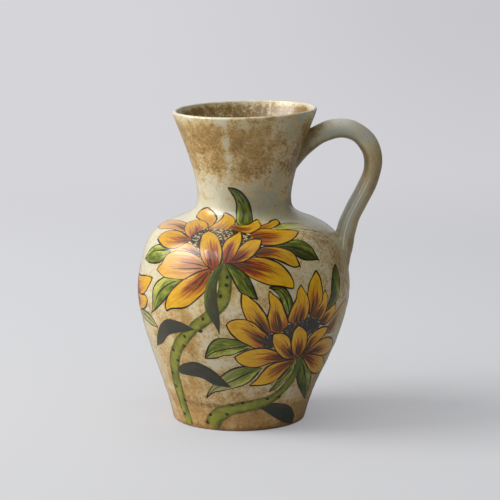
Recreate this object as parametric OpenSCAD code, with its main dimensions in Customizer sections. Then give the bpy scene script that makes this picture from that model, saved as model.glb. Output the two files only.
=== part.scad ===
// Hand-thrown ceramic pitcher with a flared neck and one pulled loop handle.
// Row frame: +Z up, origin at the centre of the foot's resting plane, handle towards +X.
// The vessel is made as a potter makes it: a thrown belly with its floor, a collar
// thrown on its own and luted on, and a pulled handle luted on at two places.

/* [Vessel] */
// Height from the resting plane to the crest of the lip
total_h = 230; // [210:1:250]
// Largest outside diameter, at the belly
belly_d = 156.4; // [148:0.2:164]
// Height of the belly's widest ring
belly_z = 99; // [94:1:104]
// Outside diameter of the foot at the resting plane
foot_d = 97.2; // [90:0.2:104]
// Outside diameter of the neck at its narrowest ring
neck_d = 68.8; // [66:0.2:72]
// Height of the neck's narrowest ring
neck_z = 164; // [162:1:166]
// Outside diameter of the flared lip
rim_d = 105.2; // [100:0.2:110]

/* [Walls] */
// Wall thickness of the belly
belly_wall = 4.8; // [4:0.1:6]
// Wall thickness of the neck
neck_wall = 4; // [3.6:0.1:4.6]
// Thickness of the rounded lip
lip_t = 3; // [2.6:0.1:3.4]
// Thickness of the floor inside the foot
floor_t = 7; // [6:0.1:9]
// Chamfer round the edge of the flat foot
foot_chamfer = 0.8; // [0.4:0.1:1.2]

/* [Handle] */
// Scale of the strap's thickness, seen from the side
strap_t_scale = 1; // [0.9:0.02:1.1]
// Scale of the strap's width, seen from the back
strap_w_scale = 1; // [0.9:0.02:1.1]
// Roundness of the strap's section: 2 is an ellipse, higher is squarer
strap_power = 2.4; // [2:0.1:3]

/* [Luting] */
// Height of the slip seam between belly and neck
seam_h = 0.8; // [0.6:0.1:1.2]
// Height of that seam above the resting plane
seam_z = 160; // [159:0.5:161]
// Thickness of the slip pads under the handle's two ends
pad_t = 0.7; // [0.5:0.1:1]

/* [Hidden] */
eps = 0.01;

foot_r = foot_d / 2;
belly_r = belly_d / 2;
neck_r = neck_d / 2;
rim_r = rim_d / 2;
lip_z = total_h - lip_t / 2;

// Outer profile as [share of height, share of radius] between the four driving rings.
lower_shape = [[0, 0], [0.03, 0.026], [0.08, 0.066], [0.14, 0.122], [0.20, 0.192], [0.28, 0.286],
               [0.36, 0.392], [0.46, 0.530], [0.57, 0.672], [0.67, 0.787], [0.77, 0.882],
               [0.87, 0.957], [0.95, 0.993]];
shoulder_shape = [[0, 1], [0.06, 0.997], [0.17, 0.979], [0.29, 0.946], [0.41, 0.903], [0.51, 0.848],
                  [0.60, 0.765], [0.68, 0.636], [0.74, 0.468], [0.79, 0.280], [0.835, 0.142],
                  [0.88, 0.056], [0.925, 0.016]];
flare_shape = [[0, 0], [0.06, 0.006], [0.15, 0.044], [0.26, 0.120], [0.38, 0.234], [0.515, 0.380],
               [0.667, 0.561], [0.82, 0.765], [0.94, 0.934], [1, 1]];

knots = concat(
    [for (p = lower_shape) [p[0] * belly_z, foot_r + p[1] * (belly_r - foot_r)]],
    [for (p = shoulder_shape) [belly_z + p[0] * (neck_z - belly_z), neck_r + p[1] * (belly_r - neck_r)]],
    [for (p = flare_shape) [neck_z + p[0] * (lip_z - neck_z), neck_r + p[1] * (rim_r - neck_r)]]);

// Catmull-Rom interpolation through a list of points of any length each.
function cr(a, b, c, d, t) = 0.5 * ((2 * b) + (c - a) * t + (2 * a - 5 * b + 4 * c - d) * t * t
                                    + (3 * b - a - 3 * c + d) * t * t * t);
function at(p, i) = p[max(0, min(len(p) - 1, i))];
function smooth(p, n) = concat(
    [for (i = [0:len(p) - 2]) for (k = [0:n - 1]) cr(at(p, i - 1), p[i], p[i + 1], at(p, i + 2), k / n)],
    [p[len(p) - 1]]);

outer = smooth(knots, 3);                       // [z, r], bottom to top
function slope(i) = let (a = at(outer, i - 1), b = at(outer, i + 1)) (b - a) / norm(b - a);
function wall(z) = lookup(z, [[0, belly_wall + 0.8], [40, belly_wall], [150, belly_wall],
                              [170, neck_wall], [210, neck_wall - 0.2], [lip_z, lip_t]]);
// Inner profile: each outer point moved in along the wall's normal.
inner_raw = [for (i = [0:len(outer) - 1]) let (s = slope(i), w = wall(outer[i][0]))
             [outer[i][0] + w * s[1], outer[i][1] - w * s[0]]];
inner_top = [lip_z, rim_r - lip_t];
inner = concat([for (p = inner_raw) if (p[0] > floor_t + 7 && p[0] < lip_z - 2) p], [inner_top]);

function r_out(z) = lookup(z, outer);
function r_in(z) = lookup(z, inner);
function flip(p) = [for (i = [len(p) - 1:-1:0]) p[i]];
function swap(p) = [for (q = p) [q[1], q[0]]];

// Wall between two heights as [r, z] points, outer side upwards and inner side down.
function band(z0, z1) = swap(concat(
    [[z0, r_out(z0)]], [for (p = outer) if (p[0] > z0 + eps && p[0] < z1 - eps) p], [[z1, r_out(z1)]],
    [[z1, r_in(z1)]], flip([for (p = inner) if (p[0] > z0 + eps && p[0] < z1 - eps) p]), [[z0, r_in(z0)]]));

// The curved corner between the inner wall and the floor. The foot is flat, as cut off the wheel.
in_low = inner[0];
corner = [for (a = [10:16:90]) [in_low[1] - 9 + 9 * cos(a), floor_t + (in_low[0] - floor_t) * (1 - sin(a))]];
belly_profile = concat(
    [[0, 0], [foot_r - foot_chamfer, 0], [r_out(foot_chamfer), foot_chamfer]],
    swap([for (p = outer) if (p[0] > foot_chamfer + 0.2 && p[0] < seam_z - seam_h / 2 - eps) p]),
    [[r_out(seam_z - seam_h / 2), seam_z - seam_h / 2], [r_in(seam_z - seam_h / 2), seam_z - seam_h / 2]],
    swap(flip([for (p = inner) if (p[0] < seam_z - seam_h / 2 - eps) p])),
    corner,
    [[0, floor_t]]);

// The lip is a half round between the outer and the inner wall.
lip = [for (a = [0:15:180]) [rim_r - lip_t / 2 + lip_t / 2 * cos(a), lip_z + lip_t / 2 * sin(a)]];
neck_z0 = seam_z + seam_h / 2;
neck_profile = concat(
    [[r_out(neck_z0), neck_z0]],
    swap([for (p = outer) if (p[0] > neck_z0 + eps && p[0] < lip_z - eps) p]),
    lip,
    swap(flip([for (p = inner) if (p[0] > neck_z0 + eps && p[0] < lip_z - eps) p])),
    [[r_in(neck_z0), neck_z0]]);

// Handle: [x, z, half thickness, half width] along the loop, from inside the neck to inside the shoulder.
strap = [[34, 190.5, 5.6, 9.4], [38.5, 196.2, 6.2, 9.8], [44.5, 202.2, 6.8, 10], [51.2, 208.2, 6.9, 9.9],
         [59, 213.2, 7, 9.6], [66.4, 215.6, 7.1, 9.5], [73.4, 215.9, 7.2, 9.5], [80.5, 214, 7.2, 9.5],
         [87, 209.8, 6.9, 9.4], [91.7, 204, 6.6, 9.3], [94.2, 197.5, 6.5, 9.2], [94.9, 190.5, 6.5, 9.2],
         [94, 183.2, 6.6, 9.2], [91.1, 175.2, 6.6, 9.2], [86.9, 167, 6.7, 9.3], [82.9, 159.5, 6.9, 9.5],
         [79.2, 152, 7.1, 9.9], [76.3, 144, 7.2, 10.5], [74.6, 136, 7.1, 11], [73.8, 128, 6.6, 10.8],
         [73.6, 121, 5.8, 9.6], [73.8, 115, 4.6, 7.6], [74.1, 110, 3.4, 5.2], [74.4, 106, 2.4, 3]];
dx = belly_r - 78.2;
strap_moved = [for (p = strap) [p[0] + dx * (p[1] < 170 ? 1 : (215 - p[1]) / 45), p[1] * total_h / 230,
                                p[2] * strap_t_scale, p[3] * strap_w_scale]];
path = smooth(strap_moved, 2);
sides = 24;
function spow(v, e) = sign(v) * pow(abs(v), e);
function ring(i, grow) = let (
    a = at(path, i - 1), b = at(path, i + 1), d = [b[0] - a[0], b[1] - a[1]], u = d / norm(d),
    n = [u[1], -u[0]], p = path[i])
    [for (k = [0:sides - 1]) let (t = 360 * k / sides,
        s = (p[2] + grow) * spow(cos(t), 2 / strap_power), w = (p[3] + grow) * spow(sin(t), 2 / strap_power))
        [p[0] + n[0] * s, w, p[1] + n[1] * s]];

module strap_solid(grow = 0, i0 = 0, i1 = len(path) - 1) {
    n = i1 - i0 + 1;
    pts = [for (i = [i0:i1]) for (q = ring(i, grow)) q];
    polyhedron(points = pts, convexity = 6, faces = concat(
        [[for (k = [0:sides - 1]) k]],
        [for (i = [0:n - 2]) for (k = [0:sides - 1]) let (a = i * sides + k, b = i * sides + (k + 1) % sides)
            [a, a + sides, b + sides]],
        [for (i = [0:n - 2]) for (k = [0:sides - 1]) let (a = i * sides + k, b = i * sides + (k + 1) % sides)
            [a, b + sides, b]],
        [[for (k = [sides - 1:-1:0]) (n - 1) * sides + k]]));
}

// The vessel's outside as one solid, with its wall moved out by gap, between two heights.
module outside(gap, z0, z1) {
    rotate_extrude($fn = 96)
        polygon(concat([[0, z0], [r_out(z0) + gap, z0]],
            [for (p = outer) if (p[0] > z0 + eps && p[0] < z1 - eps) [p[1] + gap, p[0]]],
            [[r_out(z1) + gap, z1], [0, z1]]));
}

half = floor(len(path) / 2);
upper_z0 = 178; upper_z1 = 226;
lower_z0 = 102; lower_z1 = 156;

module belly() { color([0.74, 0.66, 0.50]) rotate_extrude($fn = 96) polygon(belly_profile); }
module neck() { color([0.66, 0.52, 0.33]) rotate_extrude($fn = 96) polygon(neck_profile); }
module neck_seam() {
    color([0.80, 0.76, 0.66])
        rotate_extrude($fn = 96) polygon(band(seam_z - seam_h / 2, seam_z + seam_h / 2));
}
module handle() {
    color([0.62, 0.60, 0.50]) difference() {
        strap_solid();
        outside(pad_t, upper_z0, upper_z1);
        outside(pad_t, lower_z0, lower_z1);
    }
}
module handle_pad(z0, z1, i0, i1) {
    color([0.80, 0.76, 0.66]) difference() {
        intersection() {
            strap_solid(0.4, i0, i1);
            outside(pad_t, z0, z1);
        }
        outside(0, z0 - 1, z1 + 1);
    }
}
module handle_upper_pad() { handle_pad(upper_z0, upper_z1, 0, half - 8); }
module handle_lower_pad() { handle_pad(lower_z0, lower_z1, half + 4, len(path) - 1); }

belly();
neck();
neck_seam();
handle();
handle_upper_pad();
handle_lower_pad();
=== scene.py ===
import bpy, math
import numpy as np
from mathutils import Matrix, Vector


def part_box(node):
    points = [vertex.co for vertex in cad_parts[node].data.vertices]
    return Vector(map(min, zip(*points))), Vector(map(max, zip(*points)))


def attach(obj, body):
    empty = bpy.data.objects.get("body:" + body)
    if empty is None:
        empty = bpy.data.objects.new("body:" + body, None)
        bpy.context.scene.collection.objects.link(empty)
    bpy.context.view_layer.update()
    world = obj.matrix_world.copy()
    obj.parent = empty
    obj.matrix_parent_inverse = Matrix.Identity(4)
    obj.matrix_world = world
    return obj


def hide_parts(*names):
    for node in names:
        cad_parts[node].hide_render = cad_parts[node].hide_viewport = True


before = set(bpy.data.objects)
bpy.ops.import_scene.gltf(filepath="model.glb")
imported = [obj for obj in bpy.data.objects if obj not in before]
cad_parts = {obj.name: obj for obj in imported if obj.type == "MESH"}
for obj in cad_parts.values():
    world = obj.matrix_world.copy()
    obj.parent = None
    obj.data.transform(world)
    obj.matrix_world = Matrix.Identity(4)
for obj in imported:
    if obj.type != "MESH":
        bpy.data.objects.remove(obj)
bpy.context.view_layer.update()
MM = 0.001

# ---------------------------------------------------------------- camera
cam_data = bpy.data.cameras.new("camera")
cam_data.lens, cam_data.sensor_width = 180.0, 36.0
cam_data.clip_start, cam_data.clip_end = 0.05, 200.0
cam = bpy.data.objects.new("camera", cam_data)
bpy.context.scene.collection.objects.link(cam)
cam.location = (0.00454, -1.8129, 0.4521)
cam.rotation_mode = "QUATERNION"
cam.rotation_quaternion = (Vector((0.00454, 0, 0.12519)) - cam.location).to_track_quat("-Z", "Y")
bpy.context.scene.camera = cam
bpy.context.scene.view_settings.view_transform = "Standard"
bpy.context.scene.view_settings.look = "None"


def lin(*c):
    """sRGB 0..255 to a linear colour."""
    out = []
    for v in c:
        v = v / 255.0
        out.append(v / 12.92 if v <= 0.04045 else ((v + 0.055) / 1.055) ** 2.4)
    return tuple(out) + (1.0,)


def smooth01(x):
    x = np.clip(x, 0, 1)
    return x * x * (3 - 2 * x)


# ---------------------------------------------------------------- the vessel's surface, in mm
low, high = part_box("belly")
neck_low, neck_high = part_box("neck")
TOTAL_H = neck_high.z / MM
BELLY_R = high.y / MM
RIM_R = neck_high.y / MM + 0.02
FOOT_R, BELLY_Z, NECK_R, NECK_Z, LIP_T, SEAM_Z = 48.6, 99.0, 34.4, 164.0, 3.0, 160.0
LIP_Z = TOTAL_H - LIP_T / 2
FLOOR_T = 7.0
lower_shape = [[0, 0], [0.03, 0.026], [0.08, 0.066], [0.14, 0.122], [0.20, 0.192], [0.28, 0.286],
               [0.36, 0.392], [0.46, 0.530], [0.57, 0.672], [0.67, 0.787], [0.77, 0.882],
               [0.87, 0.957], [0.95, 0.993]]
shoulder_shape = [[0, 1], [0.06, 0.997], [0.17, 0.979], [0.29, 0.946], [0.41, 0.903], [0.51, 0.848],
                  [0.60, 0.765], [0.68, 0.636], [0.74, 0.468], [0.79, 0.280], [0.835, 0.142],
                  [0.88, 0.056], [0.925, 0.016]]
flare_shape = [[0, 0], [0.06, 0.006], [0.15, 0.044], [0.26, 0.120], [0.38, 0.234], [0.515, 0.380],
               [0.667, 0.561], [0.82, 0.765], [0.94, 0.934], [1, 1]]
knots = np.array(
    [[a * BELLY_Z, FOOT_R + b * (BELLY_R - FOOT_R)] for a, b in lower_shape]
    + [[BELLY_Z + a * (NECK_Z - BELLY_Z), NECK_R + b * (BELLY_R - NECK_R)] for a, b in shoulder_shape]
    + [[NECK_Z + a * (LIP_Z - NECK_Z), NECK_R + b * (RIM_R - NECK_R)] for a, b in flare_shape])


def catmull(p, n):
    out = []
    for i in range(len(p) - 1):
        a, b, c, d = p[max(0, i - 1)], p[i], p[i + 1], p[min(len(p) - 1, i + 2)]
        for k in range(n):
            t = k / n
            out.append(0.5 * (2 * b + (c - a) * t + (2 * a - 5 * b + 4 * c - d) * t * t
                              + (3 * b - a - 3 * c + d) * t ** 3))
    out.append(p[-1])
    return np.array(out)


def resample(p, step):
    d = np.r_[0, np.cumsum(np.sqrt((np.diff(p, axis=0) ** 2).sum(1)))]
    n = max(2, int(round(d[-1] / step)))
    t = np.linspace(0, d[-1], n + 1)
    return np.stack([np.interp(t, d, p[:, k]) for k in range(p.shape[1])], 1), t


def gsmooth(p, sigma):
    r = int(4 * sigma)
    k = np.exp(-0.5 * (np.arange(-r, r + 1) / sigma) ** 2)
    k /= k.sum()
    out = p.copy()
    for c in range(p.shape[1]):
        v = p[:, c]
        ext = np.r_[2 * v[0] - v[r:0:-1], v, 2 * v[-1] - v[-2:-r - 2:-1]]
        out[:, c] = np.convolve(ext, k, "valid")
    return out


prof, _ = resample(catmull(knots, 12), 0.25)
prof, S = resample(gsmooth(prof, 8), 0.25)          # S is the arc length up the outside, from the foot
PZ, PR = prof[:, 0], prof[:, 1]
DZ, DR = np.gradient(PZ, S), np.gradient(PR, S)
dn = np.hypot(DZ, DR)
NR, NZ = DZ / dn, -DR / dn                           # outward normal in the (r, z) half plane
S_END = S[-1]


def s_at_z(z):
    return float(np.interp(z, PZ, S))


# Slow waves for the uneven hand-made surface: fixed phases, the same on every run.
rng = np.random.default_rng(7)
waves = [(int(rng.integers(1, 6)), rng.uniform(0.01, 0.05), rng.uniform(0, 6.28), rng.uniform(0.3, 1.0)) for _ in range(14)]


def wobble(th, z):
    """Radial unevenness in mm: slow waves and faint throwing rings."""
    v = 0
    for k, f, ph, a in waves:
        v = v + a * np.sin(k * th + f * z * 2.6 + ph)
    rings = np.sin(z * 1.05 + 1.4 * np.sin(z * 0.11) + 0.35 * np.sin(th)) * (0.5 + 0.5 * np.sin(z * 0.071 + 1.0))
    groove = -np.exp(-((z - 19.5 - 0.9 * np.sin(th + 0.6)) / 1.7) ** 2)
    return 0.045 * v + 0.045 * rings + 0.20 * groove


def shape(r, z, th):
    """(r, z, angle) on the true revolve to the slightly uneven real shape, in mm. th is 0 at the front (-Y) and positive towards +X."""
    r = r + wobble(th, z)
    x = r * np.sin(th) + np.interp(z, [0, 25, 50, 75, 100, 225, 232], [-3.6, -3.1, -1.4, -0.4, 0, 0.7, 0.7])
    y = -r * np.cos(th)
    z = z + 0.025 * smooth01((z - 165) / 65) * x
    return np.stack([x, y, z + 0 * x], -1)


def on_surface(th, s, off=0.0):
    r, z = np.interp(s, S, PR), np.interp(s, S, PZ)
    nr, nz = np.interp(s, S, NR), np.interp(s, S, NZ)
    return shape(r + off * nr, z + off * nz, th)


def normals_on(th, s):
    e, f = 0.003, 0.3
    a = on_surface(th + e, s) - on_surface(th - e, s)
    b = on_surface(th, np.minimum(s + f, S_END)) - on_surface(th, np.maximum(s - f, 0))
    n = np.cross(a, b)
    return n / np.linalg.norm(n, axis=-1, keepdims=True)


# ---------------------------------------------------------------- node helper
class Mat:
    def __init__(self, name):
        self.mat = bpy.data.materials.new(name)
        self.mat.use_nodes = True
        self.t = self.mat.node_tree
        self.t.nodes.clear()
        self.out = self.t.nodes.new("ShaderNodeOutputMaterial")
        self.p = self.t.nodes.new("ShaderNodeBsdfPrincipled")
        self.t.links.new(self.p.outputs[0], self.out.inputs[0])
        self.co = None

    def put(self, sock, v):
        if isinstance(v, bpy.types.NodeSocket):
            self.t.links.new(v, sock)
        elif v is not None:
            if sock.type == "RGBA" and not hasattr(v, "__len__"):
                v = (v, v, v, 1)
            if sock.type == "VECTOR" and not hasattr(v, "__len__"):
                v = (v, v, v)
            sock.default_value = v

    def math(self, op, a, b=None, c=None, clamp=False):
        n = self.t.nodes.new("ShaderNodeMath")
        n.operation, n.use_clamp = op, clamp
        for i, v in enumerate((a, b, c)):
            if v is not None:
                self.put(n.inputs[i], v)
        return n.outputs[0]

    def add(self, a, b): return self.math("ADD", a, b)
    def sub(self, a, b): return self.math("SUBTRACT", a, b)
    def mul(self, a, b): return self.math("MULTIPLY", a, b)
    def mad(self, a, b, c): return self.math("MULTIPLY_ADD", a, b, c)

    def step(self, v, lo, hi):
        n = self.t.nodes.new("ShaderNodeMapRange")
        n.interpolation_type = "SMOOTHSTEP"
        self.put(n.inputs["Value"], v)
        self.put(n.inputs["From Min"], lo)
        self.put(n.inputs["From Max"], hi)
        return n.outputs[0]

    def line(self, v, lo, hi, a=0.0, b=1.0):
        n = self.t.nodes.new("ShaderNodeMapRange")
        self.put(n.inputs["Value"], v)
        for k, x in (("From Min", lo), ("From Max", hi), ("To Min", a), ("To Max", b)):
            self.put(n.inputs[k], x)
        return n.outputs[0]

    def mix(self, f, a, b, kind="MIX"):
        n = self.t.nodes.new("ShaderNodeMix")
        n.data_type, n.blend_type = "RGBA", kind
        n.clamp_factor = True
        self.put(n.inputs[0], f)
        self.put(n.inputs[6], a)
        self.put(n.inputs[7], b)
        return n.outputs[2]

    def attr(self, name, vector=False):
        n = self.t.nodes.new("ShaderNodeAttribute")
        n.attribute_name = name
        return n.outputs["Vector" if vector else "Fac"]

    def pos(self):
        if self.co is None:
            self.co = self.t.nodes.new("ShaderNodeTexCoord").outputs["Object"]
        return self.co

    def scaled(self, v, sx, sy, sz, add=(0, 0, 0)):
        n = self.t.nodes.new("ShaderNodeMapping")
        self.put(n.inputs["Vector"], v)
        n.inputs["Scale"].default_value = (sx, sy, sz)
        n.inputs["Location"].default_value = add
        return n.outputs[0]

    def xyz(self, x, y, z):
        n = self.t.nodes.new("ShaderNodeCombineXYZ")
        for i, v in enumerate((x, y, z)):
            self.put(n.inputs[i], v)
        return n.outputs[0]

    def noise(self, scale, detail=2.0, rough=0.5, v=None, distort=0.0, add=None, colour=False):
        n = self.t.nodes.new("ShaderNodeTexNoise")
        n.inputs["Scale"].default_value = scale
        n.inputs["Detail"].default_value = detail
        n.inputs["Roughness"].default_value = rough
        n.inputs["Distortion"].default_value = distort
        v = self.pos() if v is None else v
        if add is not None:
            v = self.scaled(v, 1, 1, 1, add)
        self.put(n.inputs["Vector"], v)
        return n.outputs[1 if colour else 0]

    def voronoi(self, scale, feature="F1", v=None, rand=1.0, out=0):
        n = self.t.nodes.new("ShaderNodeTexVoronoi")
        n.feature = feature
        n.inputs["Scale"].default_value = scale
        n.inputs["Randomness"].default_value = rand
        self.put(n.inputs["Vector"], self.pos() if v is None else v)
        return n.outputs[out]

    def bump(self, height, strength, distance, normal=None):
        n = self.t.nodes.new("ShaderNodeBump")
        self.put(n.inputs["Height"], height)
        n.inputs["Strength"].default_value = strength
        n.inputs["Distance"].default_value = distance
        if normal is not None:
            self.put(n.inputs["Normal"], normal)
        return n.outputs[0]

    def finish(self, colour, rough, normal=None, coat=0.0, coat_rough=0.06, spec=0.5):
        p = self.p
        self.put(p.inputs["Base Color"], colour)
        self.put(p.inputs["Roughness"], rough)
        p.inputs["IOR"].default_value = 1.5
        p.inputs["Specular IOR Level"].default_value = spec
        p.inputs["Coat Weight"].default_value = coat
        p.inputs["Coat Roughness"].default_value = coat_rough
        if normal is not None:
            self.put(p.inputs["Normal"], normal)
        return self.mat


# ---------------------------------------------------------------- glaze
COAT, COAT_ROUGH, SPEC = 0.55, 0.13, 0.42
CREAM, CELADON, SAND = lin(195, 187, 161), lin(152, 149, 124), lin(191, 167, 116)
TAN, BROWN, UMBER = lin(164, 129, 68), lin(106, 79, 36), lin(48, 36, 22)


def glaze(name, calm=1.0, tan_c=TAN, brown_c=BROWN, sand_c=SAND, grey_c=CELADON):
    """Mottled ochre sponge over a pale ground. Mesh attributes steer it: tan, dark, grey, orange and ridge, each 0 to
    1; ridge paints a pale line that is partly glaze running thin over an edge and partly a painted highlight, and
    inside the pot dark also carries painted shade.
    """
    m = Mat(name)
    tan, dark, grey, orange = m.attr("tan"), m.attr("dark"), m.attr("grey"), m.attr("orange")
    big = m.noise(34, 3, 0.55, distort=0.3)
    mid = m.noise(105, 4, 0.6, add=(0.3, 0.1, 0.7), distort=0.4)
    fine = m.noise(380, 4, 0.62, add=(0.9, 0.4, 0.2))
    grain = m.noise(1000, 3, 0.68, add=(0.5, 0.8, 0.1))
    field = m.mad(m.sub(big, 0.5), 1.1 * calm, tan)
    field = m.mad(m.sub(mid, 0.5), 1.7 * calm, field)
    field = m.mad(m.sub(fine, 0.5), 1.3 * calm, field)
    field = m.mad(m.sub(grain, 0.5), 1.5 * calm, field)
    t = m.step(field, -0.15, 1.25)
    ground = m.mix(m.step(m.mad(m.sub(mid, 0.5), 0.6, grey), 0.1, 0.9), CREAM, grey_c)
    c = m.mix(m.line(t, 0.10, 0.55), ground, sand_c)
    c = m.mix(m.line(t, 0.45, 0.95), c, tan_c)
    deep = m.mad(m.sub(fine, 0.5), 1.5 * calm, m.mad(m.sub(mid, 0.5), 1.1 * calm, dark))
    deep = m.mad(m.sub(grain, 0.5), 1.5 * calm, deep)
    c = m.mix(m.mul(m.step(deep, 0.15, 1.0), 0.9), c, brown_c)
    c = m.mix(m.mul(orange, 0.55), c, lin(158, 100, 46))
    # a pale line along the handle's ridges: partly glaze running thin over the edge, partly a painted highlight
    c = m.mix(m.mul(m.attr("ridge"), m.line(mid, 0.35, 0.55, 0.55, 0.95)), c, lin(222, 216, 190))
    # dark iron specks
    sp = m.voronoi(240, v=m.pos())
    keep = m.step(m.noise(90, 1, 0.5, add=(2.1, 1.3, 0.2)), 0.54, 0.60)
    speck = m.mul(m.sub(1.0, m.step(sp, 0.08, 0.17)), keep)
    c = m.mix(m.mul(speck, 0.7), c, UMBER)
    rough = m.line(m.mad(m.sub(fine, 0.5), 0.6, t), 0, 1, 0.30, 0.42)
    b = m.bump(m.mad(fine, 0.6, mid), 0.10, 0.0006)
    return m.finish(c, rough, b, coat=COAT, coat_rough=COAT_ROUGH, spec=SPEC)


glaze_mat = glaze("glaze_mottled")
handle_mat = glaze("glaze_handle", 0.45, lin(160, 138, 94), lin(102, 85, 48), lin(172, 161, 128), lin(160, 160, 148))


# ---------------------------------------------------------------- mesh helper
def build(name, verts_mm, faces, mat, attrs=None, loop_normals=None, replaces=()):
    me = bpy.data.meshes.new(name)
    me.from_pydata([tuple(v) for v in (np.asarray(verts_mm) * MM).tolist()], [], faces)
    me.polygons.foreach_set("use_smooth", [True] * len(me.polygons))
    for k, v in (attrs or {}).items():
        a = me.attributes.new(k, "FLOAT", "POINT")
        a.data.foreach_set("value", np.asarray(v, np.float32))
    me.update()
    if loop_normals is not None:
        me.normals_split_custom_set([tuple(n) for n in loop_normals])
    me.materials.append(mat)
    ob = bpy.data.objects.new(name, me)
    bpy.context.scene.collection.objects.link(ob)
    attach(ob, "root")
    if replaces:
        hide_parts(*replaces)
    return ob


# ---------------------------------------------------------------- painted fields, by angle and height
def blob(th, s, th0, s0, wt, ws, power=2.0):
    """A soft patch centred at th0 degrees and s0 mm, wt mm and ws mm in radius."""
    d = (np.degrees(th) - th0 + 180) % 360 - 180
    r = np.interp(s, S, PR)
    return np.exp(-(((np.radians(d) * r) / wt) ** 2 + ((s - s0) / ws) ** 2) ** (power / 2))


TAN_BLOBS = [  # angle, arc height, radius across, radius up, amount
    (-62, 212, 30, 20, -0.12), (-60, 244, 30, 16, 0.14), (-14, 203, 12, 8, -0.10), (-10, 222, 34, 26, 0.20), (20, 214, 16, 20, 0.15), (50, 236, 12, 22, -0.55), (30, 246, 14, 8, -0.30), (22, 226, 22, 14, 0.08),
    (62, 216, 7, 22, 0.45), (-17, 240, 3.0, 10, -0.85), (-16, 224, 2.6, 10, -0.65), (31, 233, 10, 12, -0.30), (8, 226, 12, 10, -0.14), (-40, 202, 16, 9, -0.25), (28, 206, 12, 9, -0.10),
    (-12, 57, 10, 4, -0.40), (37, 31, 8, 6, -0.30), (-27, 96, 7, 6, -0.35), (-5, 74, 12, 5, 0.30), (-38, 52, 10, 14, 0.02), (-34, 78, 18, 14, 0.26), (-18, 58, 12, 9, -0.12), (-10, 92, 20, 14, 0.20), (25, 70, 24, 14, 0.12), (-52, 40, 14, 22, 0.02), (0, 28, 44, 10, 0.10),
    (12, 36, 16, 8, -0.30), (-30, 24, 14, 8, -0.20), (-72, 60, 9, 50, -0.55), (45, 26, 14, 7, -0.35), (-20, 78, 6, 14, -0.25),
    (-8, 12, 40, 6, 0.2), (42, 150, 22, 12, 0.22), (60, 128, 18, 26, 0.30), (6, 106, 18, 10, 0.12), (-35, 98, 18, 8, 0.25),
    (130, 226, 40, 26, 0.35), (200, 236, 34, 24, 0.30), (165, 214, 16, 16, -0.30), (240, 214, 20, 18, 0.2), (110, 90, 30, 24, 0.22),
    (150, 60, 34, 20, 0.26), (200, 96, 30, 26, 0.20), (240, 50, 30, 20, 0.22), (180, 30, 40, 12, -0.22), (222, 132, 26, 18, 0.18),
    (140, 140, 24, 16, 0.20), (262, 100, 18, 30, -0.2)]
DARK_BLOBS = [
    (8, 222, 24, 20, -0.04), (-17, 238, 3.2, 12, -0.3), (-20, 20.5, 40, 2.2, 0.62), (-44, 26, 16, 1.6, 0.4), (20, 18, 30, 2.0, 0.35), (58, 140, 22, 30, 0.28), (62, 228, 7, 26, 0.5), (-30, 236, 26, 22, 0.12), (30, 214, 16, 10, 0.3), (44, 148, 18, 8, 0.25),
    (66, 120, 14, 30, 0.30), (85, 190, 12, 24, 0.4), (20, 30, 30, 14, 0.12), (-30, 62, 14, 12, 0.12), (150, 228, 30, 22, 0.30),
    (215, 230, 26, 20, 0.25), (170, 80, 30, 20, 0.18), (120, 110, 18, 26, 0.22), (230, 60, 22, 20, 0.15)]
GREY_BLOBS = [
    (48, 236, 14, 30, 0.9), (44, 190, 34, 14, 0.9), (46, 166, 16, 9, -0.35), (70, 130, 30, 50, 0.5), (20, 120, 30, 20, 0.35), (-60, 130, 26, 30, 0.15),
    (120, 180, 60, 40, 0.6), (200, 170, 60, 30, 0.45), (-17, 240, 4, 12, 0.3), (100, 60, 40, 40, 0.4)]


def fields(th, s):
    h = [0, 6, 20, 45, 70, 92, 106, 122, 150, 185, 196, 206, 216, 230, 246, S_END - 2, S_END + 3]
    base = [0.98, 0.95, 0.78, 0.65, 0.60, 0.54, 0.42, 0.30, 0.18, 0.06, 0.16, 0.42, 0.72, 0.90, 0.94, 0.46, 0.16]
    tan = np.interp(s, h, base) + 0 * th
    for a in TAN_BLOBS:
        tan = tan + a[4] * blob(th, s, *a[:4])
    dark = np.interp(s, [0, 4, 10, 60, 110, 200, 214, 246, S_END], [0.75, 0.35, 0.18, 0.10, 0.05, 0.06, 0.24, 0.28, 0.05]) + 0 * th
    for a in DARK_BLOBS:
        dark = dark + a[4] * blob(th, s, *a[:4])
    grey = 0.18 + 0 * th + 0 * s
    for a in GREY_BLOBS:
        grey = grey + a[4] * blob(th, s, *a[:4])
    orange = np.interp(s, [0, 5, 30, 80, 110], [0.75, 0.55, 0.30, 0.12, 0.0]) + 0 * th
    return {"tan": tan, "dark": dark, "grey": grey, "orange": orange}


# ---------------------------------------------------------------- belly and neck: one continuous wall, cut at the seam
def wall_t(z):
    return np.interp(z, [0, 40, 150, 170, 210, LIP_Z], [5.6, 4.8, 4.8, 4.0, 3.8, LIP_T])


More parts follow.
